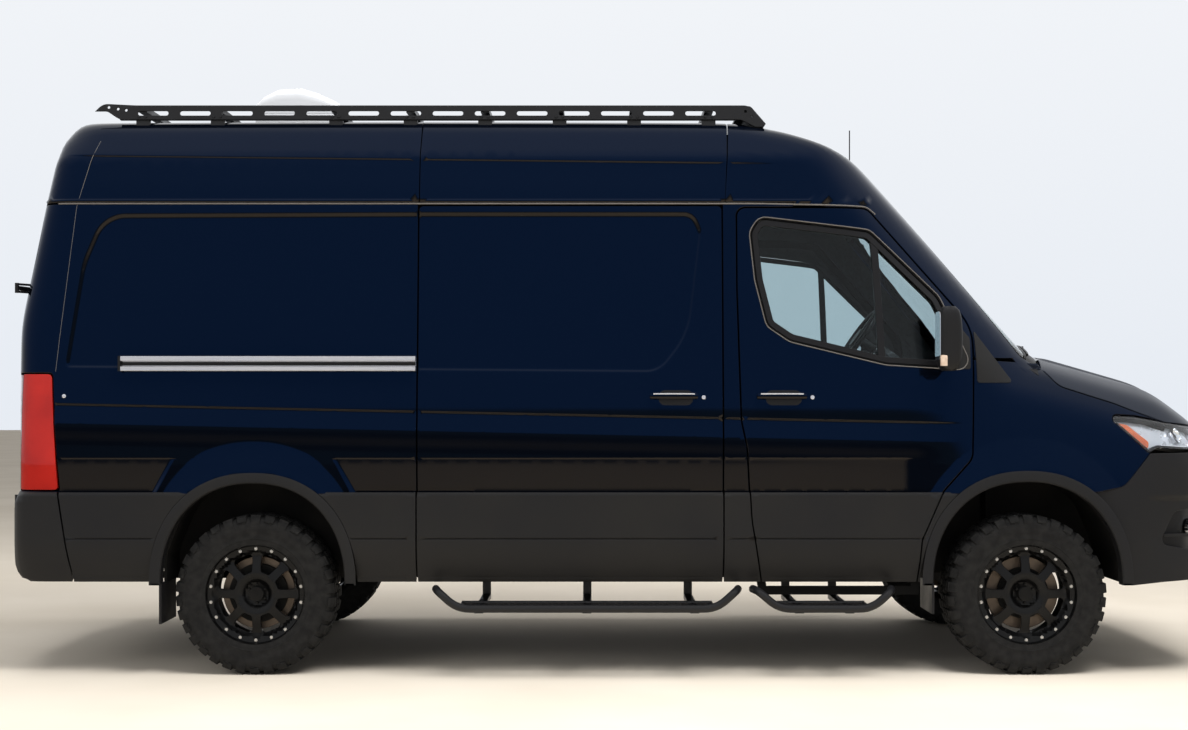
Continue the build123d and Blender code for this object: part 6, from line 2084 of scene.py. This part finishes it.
for side, word in SIDES:
    y = side * SEAT_Y
    for part, half, place, angle in (("base", (0.245, 0.232, 0.058), (-1.050, y, 1.030), -0.03),
                                     ("back", (0.315, 0.222, 0.052), (-1.345, y, 1.370), math.radians(102)),
                                     ("head", (0.088, 0.115, 0.040), (-1.408, y, 1.790), math.radians(97))):
        pad = solid(f"seat_{part}_{word}", moved(cushion(half, 0.012), place, about_y(-angle)), "fabric",
                    crisp=70, stands_for="seats")
        edge = moved(piping(half), place, about_y(-angle))
        solid(f"seat_piping_{part}_{word}", edge, "lining")
    stand = box_mesh((-1.200, y - 0.178, 0.840), (-0.852, y + 0.178, 0.975), 0.01)
    solid("seat_stand_" + word, stand, "black")
    posts = [swept([(-1.400, y + dy, 1.640), (-1.412, y + dy, 1.760)], 0.006, 10) for dy in (-0.06, 0.06)]
    solid("seat_posts_" + word, together(*posts), "bolt")

KEPT = {"floor": "chassis", "dashboard": "lining", "steering_wheel": "black", "rear_axle": "chassis",
        "front_axle": "chassis", "knuckle_left": "chassis", "knuckle_right": "chassis", "engine": "chassis",
        "wheelhouses": "chassis", "mud_flaps": "black", "antenna": "black"}
for name, mat in KEPT.items():
    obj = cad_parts[name]
    for place in range(len(obj.material_slots)):
        obj.material_slots[place].material = M[mat]

# Camera, light, floor

def place_camera():
    """The photograph's viewpoint: level, square to the side, a little right of the middle."""
    data = bpy.data.cameras.new("camera")
    data.sensor_width = 36
    photo_width, photo_focal = 1188, 1599.5
    horizon_row, middle_row = 399.6, 365
    eye_x, eye_y, eye_z = -2.0564, -8.555, 1.3063
    data.lens = data.sensor_width * photo_focal / photo_width
    data.shift_y = (horizon_row - middle_row) / photo_width
    camera = bpy.data.objects.new("camera", data)
    camera.location = (eye_x + AXLE_X, eye_y, eye_z)
    camera.rotation_euler = (math.pi / 2, 0, 0)
    bpy.context.scene.collection.objects.link(camera)
    bpy.context.scene.camera = camera


def area_lamp(name, place, aim, size, energy):
    data = bpy.data.lights.new(name, "AREA")
    data.shape = "RECTANGLE"
    data.size, data.size_y = size
    data.energy = energy
    lamp = bpy.data.objects.new(name, data)
    lamp.location = place
    lamp.rotation_euler = (Vector(aim) - Vector(place)).to_track_quat("-Z", "Y").to_euler()
    lamp.visible_glossy = False
    bpy.context.scene.collection.objects.link(lamp)


def studio():
    world = bpy.data.worlds.new("studio")
    bpy.context.scene.world = world
    world.use_nodes = True
    nodes, links = world.node_tree.nodes, world.node_tree.links
    back = nodes["Background"]
    path = nodes.new("ShaderNodeLightPath")
    coords = nodes.new("ShaderNodeTexCoord")
    split = nodes.new("ShaderNodeSeparateXYZ")
    ramp = nodes.new("ShaderNodeValToRGB")
    ramp.color_ramp.elements[0].position = 0.0
    ramp.color_ramp.elements[0].color = (0.80, 0.84, 0.90, 1)
    ramp.color_ramp.elements[1].position = 0.6
    ramp.color_ramp.elements[1].color = (1, 1, 1, 1)
    links.new(coords.outputs["Generated"], split.inputs[0])
    links.new(split.outputs["Z"], ramp.inputs["Fac"])
    links.new(ramp.outputs["Color"], back.inputs["Color"])
    seen = path.outputs["Is Camera Ray"]
    for ray in ("Is Glossy Ray", "Is Transmission Ray"):
        either = nodes.new("ShaderNodeMath")
        either.operation = "MAXIMUM"
        links.new(seen, either.inputs[0])
        links.new(path.outputs[ray], either.inputs[1])
        seen = either.outputs[0]
    level = nodes.new("ShaderNodeMapRange")
    level.inputs["To Min"].default_value = 0.42
    level.inputs["To Max"].default_value = 1.0
    links.new(seen, level.inputs["Value"])
    links.new(level.outputs["Result"], back.inputs["Strength"])
    floor_mesh = bpy.data.meshes.new("studio_floor")
    reach = 60
    floor_mesh.from_pydata([(x, y, 0) for x, y in rect(-reach, reach, -reach, reach)], [], [(0, 1, 2, 3)])
    floor = bpy.data.objects.new("studio_floor", floor_mesh)
    floor.location.z = -0.0005
    pale = material("studio_floor", (0.72, 0.65, 0.55), 0.85, Specular_IOR_Level=0.1)
    vary(pale, "Base Color", 0.8, (0.69, 0.62, 0.52), (0.75, 0.68, 0.58))
    floor_mesh.materials.append(pale)
    bpy.context.scene.collection.objects.link(floor)
    area_lamp("key", (2.5, -4.0, 8.0), (0, 0, 0.5), (4, 3), 560)
    area_lamp("over", (0, -1.0, 8.5), (0, -0.5, 0), (9, 6), 640)
    area_lamp("fill", (-6, -6, 4.0), (0, 0, 1.0), (4, 3), 120)


place_camera()
studio()
bpy.context.scene.view_settings.view_transform = "Standard"
